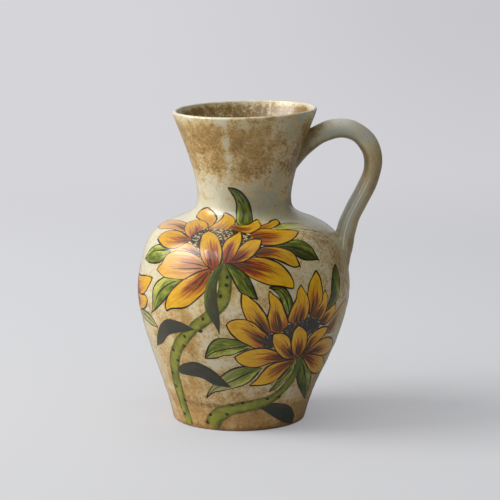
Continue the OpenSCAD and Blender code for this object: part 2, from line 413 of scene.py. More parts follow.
SEG = 256
s_seam = s_at_z(SEAM_Z)
s_out = np.r_[np.linspace(0, s_seam, 168), np.linspace(s_seam, S_END, 74)[1:]]
i_seam = 167
path = []                                            # (r, z, s, inside) round the whole wall
for r in (0.0, 16.0, 32.0, FOOT_R - 2.6):
    path.append((r, 0.0, 0.0, 2))
for a in np.radians([75, 50, 25, 8]):                # the rounded edge of the foot
    path.append((FOOT_R - 1.1 + 1.1 * math.cos(a), 1.1 - 1.1 * math.sin(a), 0.3, 0))
first_out = len(path)
keep = [s for s in s_out if np.interp(s, S, PZ) > 1.25 or s > 3]
dropped = len(s_out) - len(keep)
for s in keep:
    path.append((float(np.interp(s, S, PR)), float(np.interp(s, S, PZ)), float(s), 0))
seam_out = first_out + i_seam - dropped
for a in np.radians(np.arange(12, 180, 12)):         # the rounded lip
    path.append((RIM_R - LIP_T / 2 + LIP_T / 2 * math.cos(a), LIP_Z + LIP_T / 2 * math.sin(a), S_END + 1.5 * a, 0 if a < 1.6 else 1))
w = wall_t(PZ)
in_r, in_z = PR - w * NR, PZ - w * NZ
ok = (in_z > FLOOR_T + 8) & (in_z < LIP_Z - 2.0)
inner, _ = resample(gsmooth(np.c_[in_z[ok], in_r[ok]], 12), 0.25)
inner = np.r_[inner, [[LIP_Z - 0.8, RIM_R - LIP_T - 0.25]]][::-1]
z_in = inner[:, 0]
pick = np.r_[np.arange(0, len(z_in) - 1, 6), len(z_in) - 1]
cut = int(np.argmin(abs(z_in[pick] - SEAM_Z)))
seam_in = len(path) + cut
for i in pick:
    path.append((float(inner[i, 1]), float(inner[i, 0]), float(np.interp(inner[i, 0], PZ, S)), 1))
r0, z0 = path[-1][0], path[-1][1]
for a in np.radians([12, 24, 36, 48, 60, 72, 84, 90]):
    path.append((r0 - 9 + 9 * math.cos(a), FLOOR_T + (z0 - FLOOR_T) * (1 - math.sin(a)), 3.0, 1))
for r in (30.0, 22.0, 14.0, 7.0, 0.0):
    path.append((r, FLOOR_T + 0.25 * math.cos(r / 30 * 1.57) * math.sin(r * 0.9), 3.0, 1))
path = np.array(path)
th = np.linspace(0, 2 * np.pi, SEG, endpoint=False)
TH, _ = np.meshgrid(th, path[:, 0])
# the wall's grid and its normals, from the whole surface, so that the seam between the two pieces doesn't show
GRID = shape(path[:, 0][:, None] + 0 * TH, path[:, 1][:, None] + 0 * TH, TH)
flat_rows = path[:, 3] == 2
GRID[flat_rows, :, 2] = 0
GRID[first_out - 5:first_out, :, 2] = np.maximum(GRID[first_out - 5:first_out, :, 2], 0)
da = np.roll(GRID, -1, 1) - np.roll(GRID, 1, 1)
up = np.gradient(GRID, axis=0)
NRM = np.cross(da, up)
ln = np.linalg.norm(NRM, axis=-1, keepdims=True)
NRM = NRM / np.maximum(ln, 1e-9)
NRM[0] = (0, 0, -1)
NRM[-1] = (0, 0, 1)
NRM[flat_rows] = (0, 0, -1)


def wall_piece(name, rows, caps, replaces):
    """rows: lists of row indices that run on; caps: pairs of rows joined by a flat hidden ring."""
    verts, vid, attrs, faces, normals = [], {}, {"tan": [], "dark": [], "grey": [], "orange": [], "inner": []}, [], []
    for run in rows:
        for i in run:
            pole = path[i, 0] == 0
            n = 1 if pole else SEG
            vid[i] = (len(verts), n)
            for j in range(n):
                verts.append(GRID[i, j])
            s = np.full(n, path[i, 2])
            f = fields(th[:n], s)
            if path[i, 3] == 1:
                # inside the pot: brown glaze, painted darker the lower it lies (painted shade in the hollow) and
                # varying round the pot; near the lip the brown fades out
                zi = path[i, 1]
                f["tan"] = 0.92 + 0.22 * np.sin(th[:n] + 2.6) * smooth01((zi - 180) / 40) + 0 * s
                f["dark"] = 0.86 + 0.25 * smooth01((225 - zi) / 40) + 0.14 * np.sin(th[:n] + 0.4) + 0 * s
                f["grey"] = 0.25 + 0 * s
                f["orange"] = 0.0 * s
                if zi > LIP_Z - 3:
                    k = smooth01((zi - LIP_Z + 3) / 4)
                    f["tan"], f["dark"] = f["tan"] * (1 - k) + 0.1 * k, f["dark"] * (1 - k)
            for k in f:
                attrs[k] += list(f[k])
            attrs["inner"] += [float(path[i, 3] == 1)] * n

    def quad(a, b, hidden=None):
        (a0, na), (b0, nb) = vid[a], vid[b]
        for j in range(SEG):
            k = (j + 1) % SEG
            if na == 1:
                faces.append((a0, b0 + k, b0 + j)); idx = [(a, j), (b, k), (b, j)]
            elif nb == 1:
                faces.append((a0 + j, a0 + k, b0)); idx = [(a, j), (a, k), (b, j)]
            else:
                faces.append((a0 + j, a0 + k, b0 + k, b0 + j)); idx = [(a, j), (a, k), (b, k), (b, j)]
            for r, q in idx:
                normals.append(hidden if hidden is not None else NRM[r, q])

    for run in rows:
        for a, b in zip(run[:-1], run[1:]):
            quad(a, b)
    for a, b, n in caps:
        quad(a, b, n)
    return build(name, verts, faces, glaze_mat, attrs, normals, replaces)


last = len(path) - 1
belly = wall_piece("belly_wall", [list(range(0, seam_out + 1)), list(range(seam_in, last + 1))],
                   [(seam_out, seam_in, (0, 0, 1))], ("belly", "neck_seam"))
neck = wall_piece("neck_wall", [list(range(seam_out, seam_in + 1))], [(seam_in, seam_out, (0, 0, -1))],
                  ("neck",))

# ---------------------------------------------------------------- handle
centre = np.array([
    [33, 189.5], [36.5, 194.3], [41.1, 199.5], [46, 204.3], [51.3, 208.6], [57.5, 212.6], [64, 215], [70.5, 216.1], [77, 215.4],
    [82.6, 213], [87.6, 209.2], [91.6, 204], [94.2, 197.6], [95, 190.7], [94, 183.2], [91.1, 175.1], [87, 167], [83, 159.5],
    [79.2, 152], [76.2, 144], [74.5, 136], [73.9, 128], [73.9, 121], [74.2, 115], [74.6, 109], [75, 104]])
cl, ct = resample(gsmooth(resample(catmull(centre, 10), 0.5)[0], 8), 0.5)
u = ct / ct[-1]
tan2 = np.gradient(cl, axis=0)
tan2 /= np.linalg.norm(tan2, axis=1, keepdims=True)
nor2 = np.stack([-tan2[:, 1], tan2[:, 0]], 1)        # left of travel: the outside of the loop
half_t = np.interp(u, [0, 0.06, 0.14, 0.25, 0.40, 0.52, 0.66, 0.78, 0.84, 0.88, 0.92, 0.96, 1.0],
                   [6.0, 6.6, 6.9, 7.1, 7.0, 6.5, 6.6, 7.0, 6.8, 6.0, 4.4, 2.8, 1.6])
half_w = np.interp(u, [0, 0.06, 0.14, 0.25, 0.40, 0.52, 0.66, 0.78, 0.86, 0.92, 0.96, 1.0],
                   [10.6, 10.3, 9.9, 9.6, 9.4, 9.2, 9.3, 10.2, 10.6, 9.2, 7.0, 4.0])
half_t = half_t * (1 + 0.018 * np.sin(u * 31 + 1) + 0.012 * np.sin(u * 67))
half_w = half_w * (1 + 0.022 * np.sin(u * 27 + 2) + 0.012 * np.sin(u * 59 + 1))
ang = np.radians(sorted(set(np.linspace(0, 360, 56, endpoint=False).tolist() + [86, 88, 89, 91, 92, 94, 266, 268, 269, 271, 272, 274, 90, 270])))
KS = len(ang)


def spow(v, e):
    return np.sign(v) * np.abs(v) ** e


# ang 0 is the outside of the loop, 90 degrees is +Y. The widest line lies a little towards the inside, so each side has a soft ridge.
shift = 0.20
rings = []
for i in range(len(cl)):
    c, s_ = np.cos(ang), np.sin(ang)
    n_off = half_t[i] * (spow(c, 0.98) * np.where(c > 0, 1 + shift, 1 - shift) - shift)
    w_off = half_w[i] * spow(s_, 1.10)
    x = cl[i, 0] + nor2[i, 0] * n_off
    z = cl[i, 1] + nor2[i, 1] * n_off
    rings.append(np.stack([x, w_off, z], -1))
H = np.array(rings)
curve = np.c_[PR, PZ]


def wall_distance(P):
    """Signed distance to the vessel's outside, its normal there, and the arc height of the nearest point."""
    rho = np.hypot(P[..., 0], P[..., 1])
    q = np.stack([rho, P[..., 2]], -1).reshape(-1, 2)
    best = np.empty(len(q), int)
    for a in range(0, len(q), 4000):
        d = ((q[a:a + 4000, None, :] - curve[None, ::3, :]) ** 2).sum(-1)
        best[a:a + 4000] = np.argmin(d, 1) * 3
    n2 = np.c_[NR[best], NZ[best]]
    d = ((q - curve[best]) * n2).sum(1)
    az = np.arctan2(P[..., 1], P[..., 0]).reshape(-1)
    n3 = np.stack([n2[:, 0] * np.cos(az), n2[:, 0] * np.sin(az), n2[:, 1]], -1)
    return d.reshape(rho.shape), n3.reshape(P.shape), S[best].reshape(rho.shape)


d, n3, _ = wall_distance(H)
mid = np.stack([cl[:, 0], 0 * cl[:, 0], cl[:, 1]], -1)[:, None, :]
away = H - mid
away /= np.maximum(np.linalg.norm(away, axis=-1, keepdims=True), 1e-6)
away = away - (away * n3).sum(-1, keepdims=True) * n3
fillet_d = np.interp(u, [0, 0.3, 0.6, 1.0], [6.5, 6.5, 5.0, 4.0])[:, None]
fillet_f = np.interp(u, [0, 0.3, 0.6, 0.85, 0.93, 1.0], [4.6, 4.6, 3.2, 2.6, 1.0, 0.5])[:, None]
q = np.clip(1 - d / fillet_d, 0, 1)
H = H + away * (fillet_f * (1 - np.sqrt(np.maximum(1 - q * q, 0))))[..., None]
d, n3, sh = wall_distance(H)
H = H + n3 * np.maximum(-1.6 - d, 0)[..., None]
H[..., 0] += 0.0
first = int(np.argmax((d > -1.6).any(1)))
last_ring = len(H) - 1 - int(np.argmax((d[::-1] > -1.6).any(1)))
first, last_ring = max(first - 1, 0), min(last_ring + 1, len(H) - 1)
H, d, uu = H[first:last_ring + 1], d[first:last_ring + 1], u[first:last_ring + 1]
M = len(H)
verts = H.reshape(-1, 3).tolist() + [H[0].mean(0).tolist(), H[-1].mean(0).tolist()]
faces = []
for i in range(M - 1):
    for k in range(KS):
        k2 = (k + 1) % KS
        faces.append((i * KS + k, i * KS + k2, (i + 1) * KS + k2, (i + 1) * KS + k))
for k in range(KS):
    k2 = (k + 1) % KS
    faces.append((M * KS, k2, k))
    faces.append((M * KS + 1, (M - 1) * KS + k, (M - 1) * KS + k2))
U, A = np.meshgrid(uu, ang, indexing="ij")
inner_side = 0.5 - 0.5 * np.cos(A)                   # 1 on the inside of the loop
near = np.exp(-np.maximum(d, 0) / 4.0)
root = np.exp(-np.maximum(d, 0) / 9.0) * smooth01((0.3 - U) / 0.1)
foot = np.exp(-np.maximum(d, 0) / 5.0) * smooth01((U - 0.7) / 0.1)
under = smooth01((inner_side - 0.60) / 0.3) * smooth01((U - 0.06) / 0.06) * smooth01((0.58 - U) / 0.12)
bend = smooth01((U - 0.36) / 0.10) * smooth01((0.66 - U) / 0.14)
outer = smooth01((0.42 - inner_side) / 0.30) * smooth01((U - 0.42) / 0.12)
h_tan = 0.20 + 0.85 * root + 0.50 * foot + 0.85 * under + 0.65 * bend + 0.95 * outer
h_dark = 0.02 + 1.0 * root + 0.30 * foot + 0.55 * under + 0.20 * bend + 0.45 * outer * (0.6 + 0.4 * np.sin(23 * U + 1))
# the pale ridge line on the lower strap, partly a painted highlight
h_ridge_highlight = 1.25 * np.exp(-((np.degrees(A) % 180 - 90) / 1.9) ** 2) * smooth01((U - 0.52) / 0.06) * smooth01((0.90 - U) / 0.05)
h_grey = 0.85 + 0 * U
flat = lambda a: a.reshape(-1).tolist() + [0.5, 0.5]
handle = build("handle_loop", verts, faces, handle_mat,
               {"tan": flat(h_tan), "dark": flat(h_dark), "grey": flat(h_grey), "orange": flat(0 * U), "inner": flat(0 * U), "ridge": flat(h_ridge_highlight)},
               None, ("handle", "handle_upper_pad", "handle_lower_pad"))

# ---------------------------------------------------------------- painting: thin raised enamel that lies on the glaze
INK = lin(38, 24, 16)


def enamel_finish(m, colour, rough=0.34, line_colour=INK):
    """Fired enamel: the painted colour, the ink of the drawn lines, and the soft gloss of the glaze over both."""
    grain = m.noise(900, 3, 0.6, add=(0.2, 0.6, 0.4))
    broad = m.noise(90, 2, 0.5, add=(0.7, 0.2, 0.1))
    c = m.mix(m.mul(m.step(m.mad(grain, 0.5, m.mul(broad, 0.5)), 0.54, 0.70), 0.14), colour, lin(140, 100, 34))
    c = m.mix(m.mul(m.attr("fade"), 0.92), c, lin(176, 164, 122))
    c = m.mix(m.attr("ink"), c, line_colour)
    b = m.bump(grain, 0.08, 0.0005)
    return m.finish(c, rough, b, coat=COAT, coat_rough=COAT_ROUGH, spec=SPEC)


def petal_paint():
    m = Mat("enamel_petal")
    u, v, w, seed, wash, tone = (m.attr(k) for k in ("pu", "pv", "pw", "ps", "wash", "tone"))
    long_co = m.xyz(m.mul(v, 1.5), m.mul(u, 0.8), m.mul(seed, 7.3))
    thin_co = m.xyz(m.mul(v, 5.5), m.mul(u, 1.2), m.mul(seed, 3.1))
    blot_co = m.xyz(m.mul(w, 0.14), m.mul(u, 3.2), m.mul(seed, 5.7))
    a = m.noise(2.2, 3, 0.6, long_co, 0.2)
    t = m.noise(1.5, 3, 0.6, thin_co)
    hair = m.noise(1.6, 2, 0.6, m.xyz(m.mul(w, 2.6), m.mul(u, 1.5), m.mul(seed, 2.2)))
    g = m.noise(1.6, 3, 0.55, blot_co)
    c = m.mix(m.step(m.mad(u, 0.35, g), 0.42, 0.95), lin(189, 136, 5), lin(209, 163, 18))
    c = m.mix(m.mul(m.step(g, 0.54, 0.72), 0.45), c, lin(178, 104, 4))
    c = m.mix(m.mul(m.step(g, 0.46, 0.30), 0.45), c, lin(180, 132, 8))
    reach = m.mad(u, -1.70, 1.38)
    reach = m.mad(m.sub(a, 0.5), 1.1, reach)
    reach = m.mad(m.sub(t, 0.5), 0.9, reach)
    reach = m.mad(m.sub(hair, 0.5), 1.3, reach)
    reach = m.mad(m.math("POWER", m.math("ABSOLUTE", v), 2.5), -0.75, reach)
    red = m.mul(m.step(reach, 0.28, 0.62), wash)
    c = m.mix(m.mul(m.step(t, 0.50, 0.66), 0.42), c, lin(180, 106, 4))
    c = m.mix(m.mul(m.step(hair, 0.52, 0.70), 0.25), c, lin(156, 84, 4))
    c = m.mix(m.mul(red, 0.90), c, lin(148, 40, 6))
    dark = m.mul(m.step(reach, 0.46, 0.95), m.step(m.mad(m.sub(hair, 0.5), 0.8, t), 0.42, 0.62))
    c = m.mix(m.mul(m.mul(dark, 0.85), wash), c, lin(70, 16, 8))
    # painted shade: the petals on the shoulder, above about 0.11 to 0.13 m, are painted darker and more orange, where
    # the upward-facing shoulder takes the most light
    z = m.t.nodes.new("ShaderNodeSeparateXYZ")
    m.put(z.inputs[0], m.pos())
    c = m.mix(m.mul(m.step(z.outputs[2], 0.108, 0.132), 0.42), c, m.mix(1.0, c, (0.60, 0.60, 0.45, 1), "MULTIPLY"))
    c = m.mix(m.mul(tone, 0.7), c, lin(204, 156, 104))
    return enamel_finish(m, c)


def leaf_paint():
    m = Mat("enamel_leaf")
    u, v, w, seed, wash, tone = (m.attr(k) for k in ("pu", "pv", "pw", "ps", "wash", "tone"))
    long_co = m.xyz(m.mul(v, 1.0), m.mul(u, 1.6), m.mul(seed, 7.3))
    fine_co = m.xyz(m.mul(w, 0.45), m.mul(u, 4.0), m.mul(seed, 3.1))
    a = m.noise(1.9, 3, 0.6, long_co, 0.2)
    g = m.noise(1.7, 3, 0.6, fine_co)
    k = m.mad(m.sub(g, 0.5), 0.6, m.mad(v, 0.16, a))
    k = m.mad(m.sub(wash, 0.5), 0.45, k)
    c = m.mix(m.step(k, 0.20, 0.56), lin(52, 60, 6), lin(104, 114, 26))
    c = m.mix(m.step(k, 0.48, 0.82), c, lin(172, 170, 76))
    c = m.mix(m.mul(m.step(g, 0.56, 0.72), 0.25), c, lin(104, 118, 82))
    dark = m.mix(m.step(a, 0.40, 0.62), lin(64, 54, 46), lin(46, 54, 40))
    c = m.mix(tone, c, dark)
    return enamel_finish(m, c)


def stem_paint():
    m = Mat("enamel_stem")
    v, tone = m.attr("pv"), m.attr("tone")
    g = m.noise(130, 3, 0.6)
    edge = m.mad(m.sub(g, 0.5), 1.3, m.math("ABSOLUTE", v))
    c = m.mix(m.step(edge, 0.25, 1.05), lin(126, 126, 38), lin(72, 78, 18))
    c = m.mix(m.mul(m.step(m.noise(240, 3, 0.5, add=(3, 1, 2)), 0.52, 0.66), 0.50), c, lin(152, 146, 68))
    c = m.mix(m.mul(m.step(m.noise(70, 2, 0.5, add=(1, 1, 2)), 0.5, 0.66), 0.50), c, lin(66, 76, 18))
    c = m.mix(m.mul(tone, 0.75), c, lin(50, 60, 10))
    return enamel_finish(m, c)


def disc_paint(name, ground, mark, spread):
    m = Mat(name)
    w = m.noise(420, 2, 0.5, colour=True)
    n = m.t.nodes.new("ShaderNodeVectorMath")
    n.operation = "MULTIPLY_ADD"
    m.put(n.inputs[0], w)
    n.inputs[1].default_value = (0.0012, 0.0012, 0.0012)
    m.put(n.inputs[2], m.pos())
    cell = m.voronoi(560, v=n.outputs[0])
    patch = m.noise(200, 2, 0.6, add=(1, 4, 2))
    k = m.mad(m.sub(patch, 0.5), 0.9, cell)
    k = m.mad(m.math("ABSOLUTE", m.attr("pv")), -0.15, k)
    c = m.mix(m.step(k, spread - 0.08, spread + 0.08), mark, ground)
    return enamel_finish(m, c)


petal_mat, leaf_mat, stem_mat = petal_paint(), leaf_paint(), stem_paint()
disc_a_mat = disc_paint("enamel_disc_pale", lin(164, 143, 98), lin(28, 20, 14), 0.55)
disc_b_mat = disc_paint("enamel_disc_dark", lin(54, 48, 44), lin(128, 112, 92), 0.20)
KEYS = ("pu", "pv", "pw", "ps", "ink", "wash", "tone", "fade")

# The layout: each shape runs from its base to its tip along two edges, all as (degrees from the front, mm up the wall).
LEAVES_A = [
    ("L4", (26.1, 167.2), [(34.3, 170.3), (42.1, 171.2), (51.4, 169.0), (56.7, 164.8), (57.6, 159.8)], (59.9, 153.8), [(28.3, 164.4), (36.7, 162.9), (47.0, 161.4), (55.0, 158.0)]),
    ("L1", (-47.6, 139.2), [(-54.2, 140.8), (-60.5, 141.3), (-66.6, 138.6), (-70.8, 134.5)], (-73.8, 127.7), [(-49.4, 134.7), (-52.0, 131.3), (-56.2, 128.6), (-61.3, 127.0), (-66.7, 126.7)]),
    ("L2", (-34.5, 120.0), [(-40.8, 120.2), (-46.1, 120.2), (-50.8, 117.6), (-54.8, 113.5), (-57.1, 108.2), (-57.1, 100.9), (-57.7, 95.5)], (-59.3, 91.3), [(-37.6, 116.7), (-40.7, 112.2), (-44.0, 107.3), (-48.7, 100.9), (-54.5, 95.1)]),
    ("L5", (18.8, 147.0), [(25.9, 148.2), (29.9, 149.5), (34.9, 150.3), (39.6, 148.6), (42.7, 144.9), (44.4, 141.3), (45.2, 137.0)], (46.4, 132.7), [(22.2, 144.2), (26.2, 141.9), (29.6, 139.2), (33.1, 136.5), (37.5, 133.9), (42.5, 133.2)]),
    ("L3", (-0.5, 168.1), [(-7.6, 175.6), (-8.8, 182.9), (-8.6, 188.8), (-11.0, 194.6), (-15.7, 199.0)], (-19.1, 202.2), [(6.6, 173.2), (9.1, 180.5), (8.2, 186.6), (3.9, 193.2), (-3.8, 198.8), (-12.0, 201.6)]),
]
BACK_A = [
    ("A10", (-43.7, 159.1), [(-57.7, 167.0), (-73.2, 167.1), (-88.4, 162.6), (-99.6, 153.9)], (-91.4, 151.2), [(-52.0, 156.5), (-60.8, 157.0), (-68.5, 155.6), (-78.6, 152.6)]),
    ("A9", (-28.5, 164.7), [(-39.1, 171.6), (-50.9, 175.0), (-60.8, 177.5), (-62.9, 181.0), (-57.8, 184.0)], (-49.1, 185.7), [(-29.3, 172.9), (-29.9, 177.9), (-34.9, 181.3), (-42.1, 184.2)]),
    ("A6b", (-24.0, 161.1), [(-29.8, 165.2), (-29.1, 170.3), (-26.1, 175.7), (-23.6, 180.2)], (-23.1, 183.5), [(-17.4, 163.2), (-11.2, 167.8), (-8.9, 174.4), (-10.6, 179.1), (-17.0, 182.3)]),
    ("A8", (11.6, 166.4), [(16.6, 171.2), (23.2, 172.8), (28.3, 175.5)], (35.0, 176.8), [(16.7, 166.0), (23.0, 166.4), (29.6, 168.9), (35.7, 172.9)]),
    ("A6", (3.5, 157.5), [(8.6, 163.3), (14.9, 165.9), (23.2, 165.1), (31.1, 163.0), (38.4, 161.3)], (43.5, 158.7), [(7.0, 150.0), (11.3, 148.0), (15.6, 147.2), (20.9, 147.3), (26.0, 148.4), (31.9, 150.7), (37.9, 154.2)]),
    ("A7", (-12.7, 167.0), [(-10.2, 171.6), (-2.8, 171.3), (4.7, 172.9), (10.2, 176.6)], (14.3, 178.0), [(-6.3, 163.8), (0.0, 161.3), (4.5, 161.0), (9.6, 164.7), (15.3, 170.3)]),
    ("A11", (-35.7, 156.1), [(-38.7, 152.7), (-46.0, 156.6), (-53.7, 162.4), (-58.4, 168.3)], (-54.8, 172.9), [(-32.4, 160.6), (-32.0, 167.1), (-37.5, 171.9), (-45.7, 174.1)]),
]
DISC_A = [
    ("disc", (-37.6, 149.4), [(-37.9, 156.7), (-33.4, 162.2), (-25.6, 164.2), (-15.6, 165.3), (-6.3, 163.8), (1.5, 160.0)], (6.2, 155.1), [(-30.2, 144.6), (-20.4, 142.4), (-10.6, 143.0), (-2.4, 145.7), (3.3, 151.0)]),
]
SIDE_A = [
    ("A13", (-24.0, 138.3), [(-30.1, 144.2), (-37.9, 147.0), (-45.5, 145.3)], (-49.7, 139.6), [(-28.9, 136.6), (-39.5, 137.1)]),
    ("A12", (-35.8, 150.6), [(-43.1, 153.8), (-51.6, 156.2), (-60.0, 155.6), (-65.9, 152.5), (-67.6, 148.5)], (-67.5, 145.0), [(-38.7, 146.9), (-43.1, 142.6), (-49.1, 140.4), (-55.2, 140.6), (-61.2, 142.6)]),
    ("A14", (-18.8, 129.3), [(-23.5, 134.6), (-29.3, 138.5), (-37.5, 140.2), (-44.9, 138.9), (-49.6, 135.1), (-51.4, 130.1)], (-55.8, 123.6), [(-23.8, 126.0), (-29.0, 122.2), (-35.2, 120.0), (-42.2, 119.8), (-48.5, 119.9), (-52.4, 121.7)]),
    ("A15", (-17.7, 130.1), [(-24.5, 126.9), (-30.3, 122.9), (-34.5, 119.6), (-38.8, 114.7), (-42.6, 109.0), (-44.9, 103.5), (-45.7, 99.3)], (-45.2, 95.6), [(-18.7, 123.6), (-19.8, 117.8), (-21.3, 112.7), (-24.6, 108.1), (-28.6, 103.3), (-33.0, 100.1), (-37.6, 99.0), (-41.8, 98.0)]),
    ("A5b", (3.6, 140.9), [(8.5, 144.3), (11.7, 146.0), (16.7, 145.9), (22.2, 144.5), (27.0, 142.3), (30.2, 138.9), (31.5, 134.5)], (32.4, 130.5), [(7.0, 139.2), (13.9, 137.8), (17.9, 136.7), (22.4, 133.9), (26.4, 131.0), (30.0, 129.6)]),
    ("A4", (-7.1, 133.9), [(-2.2, 137.2), (2.4, 138.2), (7.0, 138.4), (11.5, 137.8), (16.0, 135.8), (20.5, 132.5), (23.7, 128.2), (26.3, 123.2), (27.5, 118.5)], (27.3, 114.7), [(-4.3, 131.2), (-0.4, 127.9), (3.9, 124.1), (8.7, 121.1), (14.1, 118.3), (20.1, 116.8), (24.3, 115.3)]),
]
FRONT_A = [
    ("A5", (-8.8, 133.8), [(-6.2, 138.6), (-3.5, 144.0), (-0.6, 148.7), (2.6, 152.0), (6.7, 153.7)], (11.6, 152.5), [(-4.4, 134.3), (-0.5, 135.2), (3.5, 137.6), (7.1, 142.0), (10.0, 147.2)]),
    ("A3", (-11.4, 134.1), [(-12.7, 139.8), (-13.0, 146.2), (-11.8, 151.7), (-8.4, 156.7)], (-2.8, 163.2), [(-8.6, 134.2), (-6.2, 137.9), (-3.8, 143.2), (-2.0, 148.7), (-1.4, 156.3)]),
    ("A2", (-17.0, 128.4), [(-21.4, 132.0), (-24.9, 137.4), (-27.5, 144.1), (-29.4, 151.0), (-30.1, 157.7)], (-27.9, 161.5), [(-14.9, 130.3), (-13.0, 134.7), (-12.8, 140.6), (-14.5, 147.8), (-17.7, 154.4), (-22.5, 159.3)]),
]
SEPAL = [
    ("L7", (-10.5, 133.7), [(-8.1, 128.5), (-5.8, 123.2), (-3.5, 117.3), (-1.4, 113.2), (1.8, 111.3), (4.9, 109.4)], (7.2, 108.5), [(-7.7, 133.3), (-4.3, 131.2), (0.1, 127.2), (3.1, 122.9), (4.7, 118.0), (6.0, 113.0)]),
    ("L6", (-11.6, 133.7), [(-16.2, 129.3), (-19.0, 123.9), (-20.6, 117.0), (-21.1, 108.5), (-20.5, 101.3), (-18.8, 95.9), (-16.0, 90.1)], (-13.0, 82.1), [(-12.0, 129.7), (-13.2, 124.7), (-14.2, 119.7), (-14.4, 114.0), (-13.9, 107.6), (-13.0, 100.4), (-12.6, 91.5)]),
]
LEFT_C = [
    ("C1", (-87.5, 103.6), [(-88.5, 110.0), (-76.5, 114.5), (-65.8, 116.5)], (-59.1, 116.9), [(-86.5, 97.1), (-67.3, 104.0), (-63.4, 108.3), (-60.7, 112.9)]),
    ("C2", (-85.8, 93.3), [(-86.1, 96.5), (-71.7, 101.5), (-65.6, 102.0)], (-63.1, 99.5), [(-85.2, 87.7), (-75.7, 89.7), (-66.0, 94.5)]),
]
LEAF_C = [
    ("LC", (-85.1, 87.3), [(-67.7, 89.7), (-61.4, 88.0), (-58.3, 84.6)], (-56.0, 80.4), [(-77.4, 83.8), (-66.2, 82.0), (-61.3, 80.8)]),
]
LEAVES_B = [
    ("LB1", (25.1, 93.3), [(23.7, 95.4), (22.2, 98.9), (21.0, 103.4), (19.9, 107.9), (18.3, 111.6), (16.1, 114.4)], (13.6, 116.4), [(26.5, 97.7), (26.6, 102.8), (26.1, 106.5), (25.0, 110.4), (23.4, 113.9), (20.7, 116.2), (16.8, 116.8)]),
    ("LB2", (48.5, 93.8), [(50.8, 98.6), (53.2, 103.3), (54.4, 110.3), (56.0, 117.3), (58.0, 122.7)], (61.4, 126.4), [(56.1, 97.4), (60.4, 101.2), (63.0, 107.6), (63.7, 115.5), (63.0, 122.4)]),
    ("LB3", (5.3, 72.1), [(0.1, 75.4), (-3.8, 77.6), (-7.7, 78.4), (-13.3, 78.5), (-16.8, 76.2), (-19.4, 71.9), (-21.0, 66.8)], (-22.5, 61.5), [(2.0, 70.2), (-2.0, 67.8), (-6.6, 65.4), (-11.3, 64.9), (-15.0, 62.8), (-19.5, 61.8)]),
    ("LB4", (12.6, 54.0), [(6.3, 55.2), (1.3, 55.6), (-3.6, 54.4), (-8.5, 51.2), (-12.5, 47.1), (-16.7, 41.9), (-20.7, 35.8)], (-25.1, 27.1), [(9.5, 48.2), (6.1, 43.2), (1.7, 39.6), (-5.0, 36.9), (-11.3, 34.6), (-18.7, 32.5)]),
    ("LB5", (38.3, 60.0), [(37.8, 53.3), (39.1, 46.2), (44.2, 36.6), (52.2, 28.1)], (63.0, 19.6), [(42.7, 57.5), (48.8, 50.2), (56.3, 40.8), (60.3, 33.0), (62.3, 25.9)]),
    ("LB6", (33.6, 57.5), [(30.1, 53.8), (27.7, 49.0), (25.6, 42.3), (23.3, 36.4)], (21.1, 32.5), [(35.3, 51.2), (33.1, 45.5), (30.0, 40.2), (25.9, 35.2)]),
]
BACK_B = [
    ("B6", (53.7, 76.3), [(56.1, 84.4), (59.9, 89.7), (66.0, 95.0)], (73.8, 97.8), [(61.7, 75.9), (65.8, 84.3), (71.1, 92.1)]),
    ("B5", (46.0, 85.2), [(47.2, 89.5), (49.4, 93.3), (54.3, 96.3)], (58.6, 98.1), [(52.3, 84.1), (56.0, 88.3), (59.1, 92.9)]),
    ("B4", (41.4, 89.2), [(40.6, 93.9), (43.2, 98.7), (46.0, 102.6), (46.8, 106.8)], (48.4, 110.3), [(46.9, 88.8), (49.4, 93.3), (50.6, 98.6), (50.7, 104.2)]),
    ("B3", (39.0, 91.2), [(37.3, 96.0), (36.1, 100.7), (35.6, 106.6), (36.5, 112.2), (38.0, 117.4), (40.6, 121.6)], (43.2, 125.2), [(40.8, 94.3), (43.3, 97.9), (45.6, 102.6), (46.4, 107.6), (46.2, 114.9), (45.2, 120.8)]),
    ("B2", (30.2, 87.3), [(24.4, 91.5), (25.2, 97.8), (26.7, 102.8), (28.8, 107.6), (29.6, 112.5)], (32.0, 116.5), [(35.3, 91.1), (36.7, 96.9), (36.7, 102.8), (35.7, 107.8), (33.7, 112.4)]),
    ("B1", (19.9, 82.3), [(14.9, 84.0), (13.5, 87.6), (12.7, 93.0), (13.2, 98.2), (13.9, 103.3), (13.3, 109.1)], (13.7, 114.0), [(24.5, 87.3), (23.7, 93.5), (21.6, 99.7), (20.4, 104.2), (18.2, 108.7), (15.5, 111.4)]),
    ("B8", (14.9, 80.4), [(11.4, 82.2), (7.4, 86.4), (3.5, 91.1), (0.8, 96.4), (-0.8, 102.3), (-1.2, 108.1)], (-1.0, 112.5), [(14.6, 85.2), (13.5, 90.7), (12.1, 96.0), (9.7, 100.6), (7.0, 105.3), (3.8, 108.8), (1.5, 111.8)]),
    ("B9", (16.7, 73.0), [(13.1, 82.1), (9.6, 85.9), (6.2, 90.3), (1.9, 93.0), (-2.8, 93.7), (-6.5, 92.5)], (-9.0, 89.7), [(12.3, 69.7), (7.6, 71.2), (2.9, 73.8), (-1.6, 77.0), (-5.0, 80.5), (-7.6, 85.3)]),
]
DISC_B = [
    ("brown", (10.6, 76.7), [(11.5, 79.8), (13.1, 81.3), (15.0, 82.2)], (17.2, 80.2), [(10.9, 72.6), (13.4, 70.8), (17.0, 70.5), (18.3, 74.5)]),
    ("disc", (21.5, 84.1), [(23.6, 86.8), (27.0, 89.1), (30.6, 89.5), (34.3, 91.2), (38.1, 92.6), (42.8, 89.7)], (47.2, 85.3), [(23.8, 78.7), (28.5, 72.4), (33.5, 70.8), (37.5, 75.0), (41.2, 78.5), (45.2, 81.4)]),
]
